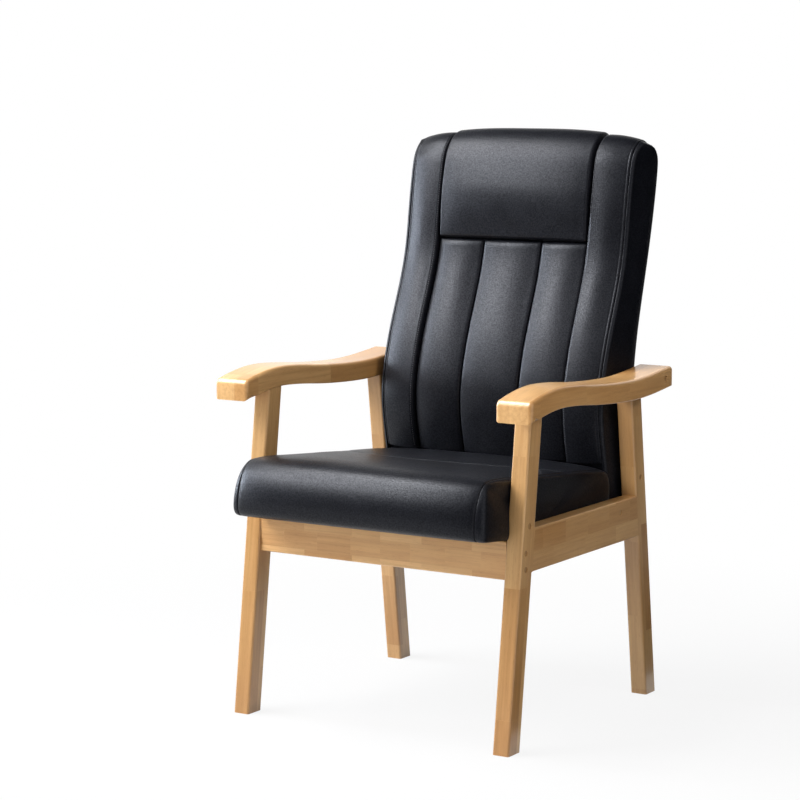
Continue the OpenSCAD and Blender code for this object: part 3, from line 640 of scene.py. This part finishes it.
def inflate(bm, held, pressure):
    """Runs a cloth with some vertices held, and gives how far each swells outwards."""
    mesh = bpy.data.meshes.new("cloth")
    bm.to_mesh(mesh)
    starts = [vert.co.copy() for vert in mesh.vertices]
    outs = [vert.normal.copy() for vert in mesh.vertices]
    piece = bpy.data.objects.new("cloth", mesh)
    bpy.context.scene.collection.objects.link(piece)
    piece.vertex_groups.new(name="held").add(held, 1.0, "REPLACE")
    cloth = piece.modifiers.new("cloth", "CLOTH")
    cloth.settings.effector_weights.gravity = 0
    cloth.settings.vertex_group_mass = "held"
    cloth.settings.quality = 6
    cloth.settings.tension_stiffness = 12
    cloth.settings.compression_stiffness = 12
    cloth.settings.bending_stiffness = 2
    cloth.settings.use_pressure = True
    cloth.settings.uniform_pressure_force = pressure
    cloth.point_cache.frame_start = 1
    cloth.point_cache.frame_end = CLOTH_FRAMES
    for step in range(1, CLOTH_FRAMES + 1):
        bpy.context.scene.frame_set(step)
    shaped = piece.evaluated_get(bpy.context.evaluated_depsgraph_get()).data
    rises = [(vert.co - start).dot(out) for start, out, vert in zip(starts, outs, shaped.vertices)]
    bpy.data.objects.remove(piece)
    bpy.context.scene.frame_set(1)
    return rises


def evened(moved, i, j, columns, rows):
    """Rise of a place of the cloth, evened with its neighbours and none at the seams."""
    if i in (0, columns) or j in (0, rows):
        return 0.0
    beside = moved[i - 1, j] + moved[i + 1, j]
    along = sum(moved[i, min(max(j + step, 1), rows - 1)] for step in (-2, -1, 1, 2))
    return (2 * moved[i, j] + beside + along) / 8


def billow(width, length, surface):
    """Swells a cloth held at its seams, and gives how far it rises at two shares."""
    columns = max(round(width / CLOTH_COLUMN), LEAST_CELLS)
    rows = max(round(length / CLOTH_ROW), LEAST_CELLS)
    bm = bmesh.new()
    bmesh.ops.create_grid(bm, x_segments=columns, y_segments=rows, size=0.5)
    bm.verts.ensure_lookup_table()
    shares = [(vert.co.x + 0.5, vert.co.y + 0.5) for vert in bm.verts]
    for vert, (across, along) in zip(bm.verts, shares):
        vert.co = surface(across, along)
    bm.normal_update()
    sign = -1 if sum(vert.normal.y for vert in bm.verts) > 0 else 1
    held = [vert.index for vert in bm.verts if vert.is_boundary]
    rises = inflate(bm, held, sign * PAD_PRESSURE)
    bm.free()
    moved = {}
    for (across, along), rise in zip(shares, rises):
        capped = max(-MOST_RISE, min(MOST_RISE, sign * rise))
        moved[round(across * columns), round(along * rows)] = capped
    for _ in range(EVENING_PASSES):
        moved = {(i, j): evened(moved, i, j, columns, rows) for i, j in moved}

    def rise_at(across, along):
        i = min(int(across * columns), columns - 1)
        j = min(int(along * rows), rows - 1)
        u, v = across * columns - i, along * rows - j
        return ((1 - u) * (1 - v) * moved[i, j] + u * (1 - v) * moved[i + 1, j]
                + (1 - u) * v * moved[i, j + 1] + u * v * moved[i + 1, j + 1])

    return rise_at


# Pads of the back

HEM_WIDTH = 5 * MM
HEM_DENT = 0.8 * MM
HEM_SPREAD = 1.1 * MM
CHANNEL_CROWN = 12 * MM
PILLOW_CROWN = 30 * MM
BOLSTER_CROWN = 14 * MM
PAD_END = 18 * MM
BOLSTER_END = 45 * MM
PILLOW_END = 40 * MM
PLAIN_SHARE = 0.8
HEM_PLACES = 400


def back_pad(name, x0, x1, start, end, crown, top_length, grid, across_swell, hemmed=False):
    """Pad on the back between two seams, from one place along the groove line to another."""
    width = x1 - x0
    length = end - start

    def surface(across, along, height):
        distance = start + length * along
        point, out = GROOVE.place(distance)
        x = x0 + width * across
        return Vector((x, 0, -corner_drop(x, point.z))) + point + out * height

    def plain_height(across, along):
        top = end_swell(top_length, length * (1 - along))
        bottom = pillow_fullness(length * along) if start > 0 else 1.0
        return (crown + SEAM_DEPTH) * across_swell(across) * top * bottom - SEAM_DEPTH

    rise_at = billow(width, length, lambda u, v: surface(u, v, PLAIN_SHARE * plain_height(u, v)))
    most = max(rise_at(0.5, i / 20) for i in range(21))
    scale = (1 - PLAIN_SHARE) * crown / most if most > 0 else 0.0

    def height(across, along):
        rise = plain_height(across, along)
        if most > 0:
            rise = PLAIN_SHARE * rise + scale * rise_at(across, along)
        beside = min(across, 1 - across) * width
        rise += pucker(beside, start + length * along, x0 * 50)
        if hemmed:
            rise -= HEM_DENT * exp(-((beside - HEM_WIDTH) / HEM_SPREAD) ** 2)
        return rise

    bm = closed_shell(*grid, lambda u, v: surface(u, v, height(u, v)),
                      lambda u, v: surface(u, v, -PAD_REAR))
    piece = new_piece(name, bm, LEATHER, "black_leather", name)
    return surface, height


def back_pads():
    """Three channels, the head pillow above them, and a stitched bolster on each side."""
    end = GROOVE.length
    for node in ("back_channel_left", "back_channel_center", "back_channel_right"):
        low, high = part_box(node)
        back_pad(node, low.x, high.x, 0.0, PILLOW_START, CHANNEL_CROWN, PAD_END, (44, 120),
                 lambda share: swell(share, high.x - low.x, 0.45, 2.0))
    low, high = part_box("head_pillow")
    back_pad("head_pillow", low.x, high.x, PILLOW_START, end, PILLOW_CROWN, PILLOW_END, (90, 100),
             lambda share: swell(share, high.x - low.x, 0.72, 3.2))
    for side in SIDES:
        node = "back_bolster_" + SIDES[side]
        low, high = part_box(node)
        width = high.x - low.x
        surface, height = back_pad(
            node, low.x, high.x, 0.0, end, BOLSTER_CROWN, BOLSTER_END, (60, 200),
            lambda share: bolster_swell(share if side == RIGHT else 1 - share, width), True)
        share = 0.5 - side * (0.5 - HEM_WIDTH / width)
        shares = [i / HEM_PLACES for i in range(4, HEM_PLACES - 4)]
        places = [surface(share, along, height(share, along)) for along in shares]
        stitches("bolster_stitches_" + SIDES[side], places)


# Stitches

STITCH_LENGTH = 3.1 * MM
STITCH_GAP = 1.3 * MM
STITCH_R = 0.42 * MM


def stitches(name, places):
    """Row of small stitches along a list of places."""
    bm = bmesh.new()
    line = Line(places)
    pitch = STITCH_LENGTH + STITCH_GAP
    for i in range(int(line.length / pitch)):
        start = line.place(i * pitch)[0]
        end = line.place(i * pitch + STITCH_LENGTH)[0]
        turn = (end - start).to_track_quat("Z", "Y").to_matrix().to_4x4()
        size = Matrix.Diagonal((STITCH_R, STITCH_R, (end - start).length / 2, 1))
        bmesh.ops.create_uvsphere(bm, u_segments=6, v_segments=4, radius=1,
                                  matrix=Matrix.Translation((start + end) / 2) @ turn @ size)
    new_piece(name, bm, THREAD, "black_leather")


# Side panels and rear cover of the back

PANEL_INNER = 240.4 * MM
PANEL_FRONT = 245.5 * MM
PANEL_REAR = 260.5 * MM
PANEL_PROBE_X = 242 * MM
PANEL_FOOT = 377.5 * MM
PANEL_TOP_TURN = radians(84)
PANEL_LEVELS = 24
PANEL_TURNS = 8
PANEL_FRONT_ROLL = 7 * MM
PANEL_REAR_ROLL = 6 * MM
PANEL_BULGE = 3.6 * MM
PANEL_LIFT = 0.8 * MM
COVER_X = 256 * MM
COVER_T = 4.6 * MM
COVER_BOTTOM = 372 * MM
COVER_FOOT = 382 * MM
COVER_LEVELS = 26
COVER_ROLL = 3.4 * MM
COVER_ROLL_WIDTH = 8 * MM
UNSEWN = 110 * MM
COVER_TURNS = range(134, 181, 6)
COVER_TURN = radians(COVER_TURNS[0])
COVER_TUCK = 4 * MM
TUCK_STEPS = 4
STRIP_X = 239.6 * MM
STRIP_TOP = 458.8 * MM


def panel_lines(side):
    """Front and rear edge of a side panel, from its foot to its top."""
    cast = caster("back_side_panel_" + SIDES[side])
    x = side * PANEL_PROBE_X
    heights = [PANEL_FOOT + (SHOULDER_Z - PANEL_FOOT) * i / PANEL_LEVELS
               for i in range(PANEL_LEVELS + 1)]
    turns = [PANEL_TOP_TURN * i / PANEL_TURNS for i in range(1, PANEL_TURNS + 1)]
    front = [at_height(cast, x, z, FRONT) for z in heights]
    front += [around_back(cast, x, turn) for turn in turns]
    rear = [at_height(cast, x, z, REAR) for z in heights]
    rear += [around_back(cast, x, pi - turn) for turn in turns]
    return flat_line(front), flat_line(rear)


def side_panel(side):
    """Panel on the side of the back, rolled at its edges and rounded at its top."""
    name = "back_side_panel_" + SIDES[side]
    front_line, rear_line = panel_lines(side)
    top_z = max(point.z for point in front_line.points + rear_line.points)

    def outline(across, along):
        first = front_line.place(front_line.length * along)[0]
        last = rear_line.place(rear_line.length * along)[0]
        point = first.lerp(last, across)
        point.z -= corner_drop(PANEL_INNER, point.z)
        return point, (last - first).length

    def outer(across, along):
        point, width = outline(across, along)
        rolls = end_swell(PANEL_FRONT_ROLL, across * width)
        rolls *= end_swell(PANEL_REAR_ROLL, (1 - across) * width)
        bulge = PANEL_BULGE * sin(pi * across ** 2) * sin(pi * along) ** 0.5
        flat = PANEL_FRONT + (PANEL_REAR - PANEL_FRONT) * across + bulge
        below = top_z - point.z
        if below < CORNER_R:
            round_x = BACK_HALF - CORNER_R + sqrt(CORNER_R ** 2 - (CORNER_R - below) ** 2)
            flat = max(min(flat, round_x), PANEL_INNER)
        out = PANEL_INNER + PANEL_LIFT + (flat - PANEL_INNER) * rolls
        return Vector((side * out, point.y, point.z))

    def inner(across, along):
        point = outline(across, along)[0]
        return Vector((side * PANEL_INNER, point.y, point.z))

    piece = new_piece(name, closed_shell(44, 150, outer, inner), LEATHER, "black_leather", name)


def tucked_in(first):
    """Points that lead the cover from its first one under the upper ends of the pads."""
    seam = GROOVE.points[-1] - CAP_CENTRE
    sunk, whole = seam.length - COVER_TUCK, (first - CAP_CENTRE).length
    points = []
    for i in range(TUCK_STEPS):
        angle = CAP_TURN + (COVER_TURN - CAP_TURN) * i / TUCK_STEPS
        reach = sunk + (whole - sunk) * smooth_step(i / TUCK_STEPS)
        points.append(CAP_CENTRE + turned_out(angle) * reach)
    return points


def cover_line():
    """Line of the cover, from under the pads down the rear and round the foot of the back."""
    cast = caster("back_rear_cover")
    points = [around_back(cast, 0, radians(angle)) for angle in COVER_TURNS]
    points = tucked_in(points[0]) + points
    fall = (COVER_FOOT - SHOULDER_Z) / COVER_LEVELS
    points += [at_height(cast, 0, SHOULDER_Z + fall * i, REAR) for i in range(1, COVER_LEVELS + 1)]
    rear_y, front_y = points[-1].y, at_height(cast, 0, COVER_FOOT, FRONT).y
    points += [Vector((0, rear_y - 3 * MM, COVER_BOTTOM + 2 * MM)),
               Vector((0, rear_y - 12 * MM, COVER_BOTTOM)),
               Vector((0, (rear_y + front_y) / 2, COVER_BOTTOM)),
               Vector((0, front_y + 12 * MM, COVER_BOTTOM)),
               Vector((0, front_y + 3 * MM, COVER_BOTTOM + 2 * MM))]
    points += [at_height(cast, 0, COVER_FOOT + 11 * i * MM, FRONT) for i in range(7)]
    return flat_line(points + [at_height(cast, 0, STRIP_TOP, FRONT)])


def rear_cover():
    """Cover that wraps the top, the rear and the underside of the back."""
    name = "back_rear_cover"
    line = cover_line()
    under = line.length - (STRIP_TOP - COVER_BOTTOM)

    def half_width(distance):
        share = min(max((distance - under) / (12 * MM), 0), 1)
        return COVER_X + (STRIP_X - COVER_X) * share

    def surface(across, along, depth):
        distance = line.length * along
        point, out = line.place(distance)
        wide = half_width(distance)
        beside = wide * 2 * min(across, 1 - across)
        drop = COVER_ROLL * (1 - end_swell(COVER_ROLL_WIDTH, beside))
        dent = HEM_DENT * exp(-((beside - 2 * HEM_WIDTH) / (1.2 * MM)) ** 2)
        height = -depth if depth else -drop - dent + pucker(beside, distance, 7)
        x = wide * (2 * across - 1)
        return Vector((x, 0, -corner_drop(x, point.z))) + point + out * height

    bm = closed_shell(90, 260, lambda u, v: surface(u, v, 0), lambda u, v: surface(u, v, COVER_T))
    piece = new_piece(name, bm, LEATHER, "black_leather", name)
    sewn = (under - UNSEWN) / line.length
    for side in SIDES:
        share = 0.5 + side * (0.5 - HEM_WIDTH / COVER_X)
        places = [surface(share, sewn * i / HEM_PLACES, 0) for i in range(6, HEM_PLACES)]
        stitches("rear_cover_stitches_" + SIDES[side], places)


# Seat

SEAT_RAKE = radians(4.5)
SEAT_ORIGIN = Vector((0, -353.55 * MM, 384.1 * MM))
SEAT_SEAM_X = 250 * MM
SEAM_INSET = 11 * MM
CORE_FRONT = 62 * MM
CORE_REAR = 470 * MM
CORE_UP = 54 * MM
SEAT_HOLLOW = ((-258.3 * MM, 44.7 * MM, -4 * MM), (258.3 * MM, 489.3 * MM, 55.5 * MM))
SEAM_STEPS = (1.0 * MM, 2.6 * MM, 6 * MM, 13 * MM)
SEAT_COLUMN_SHARES = (0, 0.18, 0.36, 0.52, 0.66, 0.78, 0.87)
SEAT_TOP_SHARES = (0.12, 0.26, 0.42, 0.58, 0.72, 0.84)
SEAT_REAR_SHARES = (0.2, 0.4, 0.6, 0.8)
# Rings of the seat's sides, from the seam inwards: how far each swells, and its size
GUSSET_RINGS = ((0.09, 0.9994), (0.24, 0.998), (0.42, 0.9945), (0.62, 0.988), (0.8, 0.978),
                (0.93, 0.962), (1.0, 0.935), (1.04, 0.85), (1.06, 0.7), (1.07, 0.45))
CROSS_SEAM_Y = -65 * MM
CROSS_SEAM_TURN = 75 * MM
CROSS_SEAM_HALF = 240 * MM
RAKE_SHIFT = 6.5 * MM
SEAM_GROOVE = 2.6 * MM
SEAM_VALLEY = 1.6 * MM
VALLEY_REACH = 12 * MM
FRONT_BULGE = 10 * MM
BULGE_REACH = 60 * MM
SEAT_HALF_LENGTH = 258.5 * MM
SEAT_SWELL = 3 * MM
STITCH_INSET = 4.5 * MM
SIDE_ROW = (Vector((218 * MM, -43 * MM)), Vector((248 * MM, -87 * MM)))
SIDE_ROW_STEPS = 12
NOSE_ROWS = 20
REAR_ROWS = 10
UNDER_ROWS = 8


def raked(way_out):
    """Turns a way from the sloping seat's directions to the chair's."""
    return Matrix.Rotation(-SEAT_RAKE, 3, "X") @ way_out


def seat_point(x, y, z):
    """Point given in the sloping seat's own lengths."""
    return SEAT_ORIGIN + Vector((x, 0, 0)) + raked(Vector((0, y, z)))


def seat_own(point):
    """Place of a point in the sloping seat's own lengths."""
    return Matrix.Rotation(SEAT_RAKE, 3, "X") @ (point - SEAT_ORIGIN)


def cross_seam_y(x):
    """Place of the seam across the seat, which curves towards the back at its ends."""
    world_y = CROSS_SEAM_Y + CROSS_SEAM_TURN * (abs(x) / CROSS_SEAM_HALF) ** 2.2
    return (world_y - SEAT_ORIGIN.y) / cos(SEAT_RAKE) - RAKE_SHIFT


def seat_columns():
    """Places across the top of the seat, closer together beside the side seams."""
    half = [SEAT_SEAM_X * share for share in SEAT_COLUMN_SHARES]
    half += [SEAT_SEAM_X - step for step in reversed(SEAM_STEPS)] + [SEAT_SEAM_X]
    return [-x for x in reversed(half[1:])] + half


def seat_rows(x):
    """Core points and ways out, once round the seat at x, and the row of the cross seam."""
    up, down = Vector((0, 0, 1)), Vector((0, 0, -1))
    seam = cross_seam_y(x)
    rows = []
    for i in range(NOSE_ROWS):
        angle = radians(-90 - 180 * i / NOSE_ROWS)
        rows.append((CORE_FRONT, Vector((0, cos(angle), sin(angle)))))
    ahead = seam - CORE_FRONT
    rows += [(CORE_FRONT + ahead * share, up) for share in (0,) + SEAT_TOP_SHARES]
    rows += [(seam - step, up) for step in reversed(SEAM_STEPS)]
    rows += [(seam, up)]
    seam_row = len(rows) - 1
    rows += [(seam + step, up) for step in SEAM_STEPS]
    rows += [(seam + (CORE_REAR - seam) * share, up) for share in SEAT_REAR_SHARES]
    for i in range(REAR_ROWS + 1):
        angle = radians(90 - 180 * i / REAR_ROWS)
        rows.append((CORE_REAR, Vector((0, cos(angle), sin(angle)))))
    back = CORE_FRONT - CORE_REAR
    rows += [(CORE_REAR + back * i / UNDER_ROWS, down) for i in range(1, UNDER_ROWS + 1)]
    return rows, seam_row


def seat_skin(cast, x, core_y, out):
    """Point on the outside of the cushion's solid, from a core point on the way out."""
    core = seat_point(x, core_y, CORE_UP)
    turned = raked(out)
    hit = cast(core + turned * 0.4, -turned)[0]
    if out.z < -0.05:
        reach = CORE_UP / -out.z
        if not hit or (hit - core).length > reach or out.z < -0.99:
            return core + turned * reach
    return hit


def valley(off):
    """How far the cushion sinks at a distance from its cross seam."""
    return SEAM_VALLEY * exp(-(off / VALLEY_REACH) ** 2)


def add_gussets(bm, cast, rays):
    """Adds the two sides of the cushion, each a ring of faces within the next."""
    centre = seat_point(0, SEAT_HALF_LENGTH, 0)
    rings, rows = len(GUSSET_RINGS), len(rays)
    for side in SIDES:
        made = bmesh.ops.create_grid(bm, x_segments=rings, y_segments=rows - 1, size=0.5)
        for vert in made["verts"]:
            ring = round((vert.co.x + 0.5) * rings)
            j = round((vert.co.y + 0.5) * (rows - 1))
            vert.co = gusset_point(cast, side, ring, *rays[j], centre)


def seat_shell():
    """Coarse closed cushion with its seams drawn in."""
    cast = caster("seat_cushion")
    columns = seat_columns()
    seam_row = seat_rows(0)[1]
    rays = [seat_rows(x)[0] for x in columns]
    rows = len(rays[0])
    bm = bmesh.new()
    bmesh.ops.create_grid(bm, x_segments=len(columns) - 1, y_segments=rows - 1, size=0.5)
    for vert in bm.verts:
        i = round((vert.co.x + 0.5) * (len(columns) - 1))
        j = round((vert.co.y + 0.5) * (rows - 1))
        core_y, out = rays[i][j]
        sink = SEAM_GROOVE if j == seam_row or i in (0, len(columns) - 1) else 0.0
        if out.z > 0.99:
            sink += valley(abs(core_y - cross_seam_y(columns[i])))
        vert.co = seat_skin(cast, columns[i], core_y, out) - raked(out) * sink
    bmesh.ops.remove_doubles(bm, verts=bm.verts, dist=0.02 * MM)
    add_gussets(bm, cast, rays[0])
    bmesh.ops.remove_doubles(bm, verts=bm.verts, dist=0.05 * MM)
    bmesh.ops.holes_fill(bm, edges=[edge for edge in bm.edges if edge.is_boundary], sides=0)
    bmesh.ops.recalc_face_normals(bm, faces=bm.faces)
    return bm


def gusset_point(cast, side, ring, core_y, out, centre):
    """Point of the cushion's side, on a ring from the seam inwards."""
    point = seat_skin(cast, side * SEAT_SEAM_X, core_y, out)
    if ring == 0:
        off = abs(core_y - cross_seam_y(SEAT_SEAM_X)) if out.z > 0.99 else 1.0
        return point - raked(out) * (SEAM_GROOVE + valley(off))
    swelled, shrink = GUSSET_RINGS[ring - 1]
    ahead = smooth_step(1 - (point.y - SEAT_ORIGIN.y) / BULGE_REACH)
    middle_line = centre + Vector((side * SEAT_SEAM_X, 0, 0))
    point = middle_line + (point - middle_line) * shrink
    point.x += side * swelled * (SEAM_INSET + FRONT_BULGE * ahead)
    return point


def hollowed(piece):
    """Finished mesh of the cushion, opened below for its battens and board."""
    low, high = SEAT_HOLLOW
    bm = bmesh.new()
    bmesh.ops.create_cube(bm, size=1)
    for vert in bm.verts:
        corner = [high[i] if vert.co[i] > 0 else low[i] for i in range(3)]
        vert.co = seat_point(*corner)
    cutter = mesh_object("hollow", bm)
    opened = piece.modifiers.new("hollow", "BOOLEAN")
    opened.object = cutter
    opened.solver = "EXACT"
    shaped = piece.evaluated_get(bpy.context.evaluated_depsgraph_get())
    result = bpy.data.meshes.new_from_object(shaped)
    bpy.data.objects.remove(cutter)
    piece.modifiers.clear()
    return result


def swell_seat(bm):
    """Swells the cushion like a cloth held at its seams and on its underside."""
    bm.verts.ensure_lookup_table()
    bm.normal_update()
    held = [vert.index for vert in bm.verts if is_under(vert) or is_seam(vert.co)]
    rises = inflate(bm, held, SEAT_PRESSURE)
    scale = SEAT_SWELL / max(rises)
    for vert, rise in zip(bm.verts, rises):
        vert.co += vert.normal * max(-SEAT_SWELL, min(SEAT_SWELL, rise * scale))


def seat_cushion():
    """Cushion with its seams, opened below, and its stitches."""
    bm = seat_shell()
    swell_seat(bm)
    piece = new_piece("seat_cushion", bm, LEATHER, "black_leather", "seat_cushion")
    finer = piece.modifiers.new("finer", "SUBSURF")
    finer.levels = finer.render_levels = 2
    piece.data = hollowed(piece)
    seat_stitches(piece)


def is_under(vert):
    return abs(vert.normal.z) > 0.9 and seat_own(vert.co).z < 1 * MM


def is_seam(point):
    """Whether a point of the coarse cushion lies on a side seam or the cross seam."""
    own = seat_own(point)
    beside = abs(abs(point.x) - SEAT_SEAM_X)
    across = abs(own.y - cross_seam_y(point.x))
    return beside < 0.1 * MM or across < 0.5 * MM and own.z > CORE_UP


def seat_stitches(piece):
    """Stitches before the cross seam, and the short rows where it meets the sides."""
    points = [vert.co.copy() for vert in piece.data.vertices]
    faces = [tuple(face.vertices) for face in piece.data.polygons]
    cast = BVHTree.FromPolygons(points, faces).ray_cast

    def above(x, y):
        return cast(Vector((x, y, 1)), Vector((0, 0, -1)))[0]

    places = []
    for i in range(-80, 81):
        x = i * 3 * MM
        places.append(above(x, seat_point(x, cross_seam_y(x) - STITCH_INSET, CORE_UP).y))
    stitches("seat_stitches_across", places)
    row = [SIDE_ROW[0].lerp(SIDE_ROW[1], i / SIDE_ROW_STEPS) for i in range(SIDE_ROW_STEPS + 1)]
    for side in SIDES:
        stitches("seat_stitches_" + SIDES[side], [above(side * x, y) for x, y in row])


# Light and floor

WORLD_LIGHT = 0.34


def soft_light(name, place, aim, size, power, color=(1, 1, 1), spread=180, mirrored=True):
    """Rectangular lamp aimed at a point, which may be left out of reflections."""
    lamp = bpy.data.lights.new(name, "AREA")
    lamp.shape = "RECTANGLE"
    lamp.size, lamp.size_y = size
    lamp.energy = power
    lamp.spread = radians(spread)
    lamp.color = color
    light = bpy.data.objects.new(name, lamp)
    light.location = place
    light.rotation_euler = (Vector(aim) - Vector(place)).to_track_quat("-Z", "Y").to_euler()
    light.visible_glossy = mirrored
    bpy.context.scene.collection.objects.link(light)


def seen_directly(tree):
    """1 for rays of the eye and of reflections, 0 for rays that only light the chair."""
    rays = add(tree, "LightPath").outputs
    return calculate(tree, "MAXIMUM", rays["Is Camera Ray"], calculate(
        tree, "MAXIMUM", rays["Is Glossy Ray"], rays["Is Transmission Ray"]))


def background():
    """World that is white to the eye and in reflections, and dimmer as a light."""
    world = bpy.data.worlds.new("studio")
    world.use_nodes = True
    tree = world.node_tree
    strength = calculate(tree, "MULTIPLY_ADD", seen_directly(tree), 1 - WORLD_LIGHT, WORLD_LIGHT)
    sky = tree.nodes["Background"]
    sky.inputs["Color"].default_value = grey(1)
    tree.links.new(strength, sky.inputs["Strength"])
    bpy.context.scene.world = world


def floor():
    """White floor that keeps a soft shadow."""
    material, tree, shader = new_material("white_floor")
    shader.inputs["Base Color"].default_value = grey(0.6)
    shader.inputs["Roughness"].default_value = 0.9
    glow = add(tree, "Emission", {"Color": grey(1), "Strength": 1.0})
    reach = add(tree, "VectorMath", {0: object_place(tree)}, operation="LENGTH").outputs["Value"]
    fade = add(tree, "MapRange", {"Value": reach, "From Min": 0.5, "From Max": 1.7, "To Min": 0.88,
                                  "To Max": 1.0}, interpolation_type="SMOOTHSTEP").outputs[0]
    both = add(tree, "MixShader", {
        0: calculate(tree, "MULTIPLY", seen_directly(tree), fade), 1: shader.outputs[0],
        2: glow.outputs[0]})
    tree.links.new(both.outputs[0], tree.nodes["Material Output"].inputs["Surface"])
    bm = bmesh.new()
    bmesh.ops.create_grid(bm, x_segments=1, y_segments=1, size=12)
    mesh_object("floor", bm, material)


def dark_card(name, corners, shades=False):
    """Black card beside the chair, seen only by its reflection or its shade."""
    material, _, shader = new_material(name)
    shader.inputs["Base Color"].default_value = grey(0.003)
    shader.inputs["Roughness"].default_value = 1
    shader.inputs["Specular IOR Level"].default_value = 0
    bm = bmesh.new()
    bm.faces.new([bm.verts.new(corner) for corner in corners])
    card = mesh_object(name, bm, material)
    card.visible_camera = False
    card.visible_diffuse = shades
    card.visible_shadow = False
    card.visible_transmission = False


def upright(first, last, height):
    """Corners of an upright card between two places on the floor."""
    low = 20 * MM
    return [(*first, low), (*last, low), (*last, height), (*first, height)]


def light_stage():
    """Soft lamps, brightest from the upper left, and dark cards that end the highlights."""
    background()
    floor()
    soft_light("key", (-2.35, -1.9, 2.9), (0, 0, 1.0), (1.9, 1.3), 27, spread=80)
    soft_light("key_beside", (-1.3, -2.9, 2.5), (0, 0, 0.9), (1.5, 1.4), 14)
    soft_light("top", (-1.45, -0.82, 3.1), (0, 0, 0.6), (2.1, 0.85), 60)
    soft_light("seat_top", (-1.45, -0.82, 3.1), (0.1, -0.35, 0.45), (2.1, 0.85), 2.0, spread=30)
    soft_light("rim", (-2.9, -0.6, 1.25), (0, 0, 0.85), (0.6, 1.3), 26, (0.80, 0.88, 1), 110)
    soft_light("front", (-0.6, -3.6, 1.0), (0, 0, 0.5), (1.6, 1.6), 26, mirrored=False)
    soft_light("above_right", (1.5, -0.6, 3.4), (0, 0, 0.6), (1.3, 1.3), 15, mirrored=False)
    soft_light("right", (2.3, -0.2, 1.9), (0.33, 0, 0.8), (0.5, 0.5), 0.9, spread=40, mirrored=False)
    dark_card("dark_card_right", upright((0.75, 2.1), (1.35, 0.2), 2.6), True)
    dark_card("dark_card_floor", [(0.36, -0.35, 0.004), (1.3, 0.2, 0.004), (0.9, 1.7, 0.004),
                                  (0.36, 1, 0.004)])
    dark_card("dark_card_ahead", upright((-0.55, -2.9), (2.1, -1.9), 2.2))
    dark_card("dark_card_low", upright((-2.3, -1.6), (-0.55, -2.9), 1.3))
    dark_card("dark_card_above", [(-3.2, 0.2, 3.3), (1, 0.2, 3.3), (1, 3, 3.3), (-3.2, 3, 3.3)])


# Materials of the frame's nodes

def carry_over():
    """Gives every node a material, which shows on those that keep their own mesh."""
    inner_wood = wood("inner_wood", "Y", "Z", 0.0, 1.2, 60 * MM)
    zinc, ply, sponge, cloth = steel(), plywood(), foam(), dust_cloth()
    kept = {
        "front_leg_left": FRONT_LEG_WOOD, "front_leg_right": FRONT_LEG_WOOD,
        "rear_leg_left": REAR_LEG_WOOD, "rear_leg_right": REAR_LEG_WOOD,
        "bolt_plugs": PLUG_WOOD, "arm_dowels": FRONT_LEG_WOOD, "seat_board": ply, "back_board": ply,
        "back_foam": sponge, "seat_dust_cover": cloth,
    }
    for name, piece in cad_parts.items():
        material = kept.get(name)
        if not material:
            metal = any(word in name for word in ("bolts", "nuts", "screws"))
            material = zinc if metal else inner_wood
        for slot in piece.material_slots:
            slot.material = material


place_camera()
carry_over()
for side in SIDES:
    armrest(side)
    rail("side_rail_" + SIDES[side], 1, 200 * MM, SIDE_RAIL_WOOD)
    side_panel(side)
rail("front_rail", 0, 400 * MM, FRONT_RAIL_WOOD)
back_pads()
rear_cover()
seat_cushion()
light_stage()
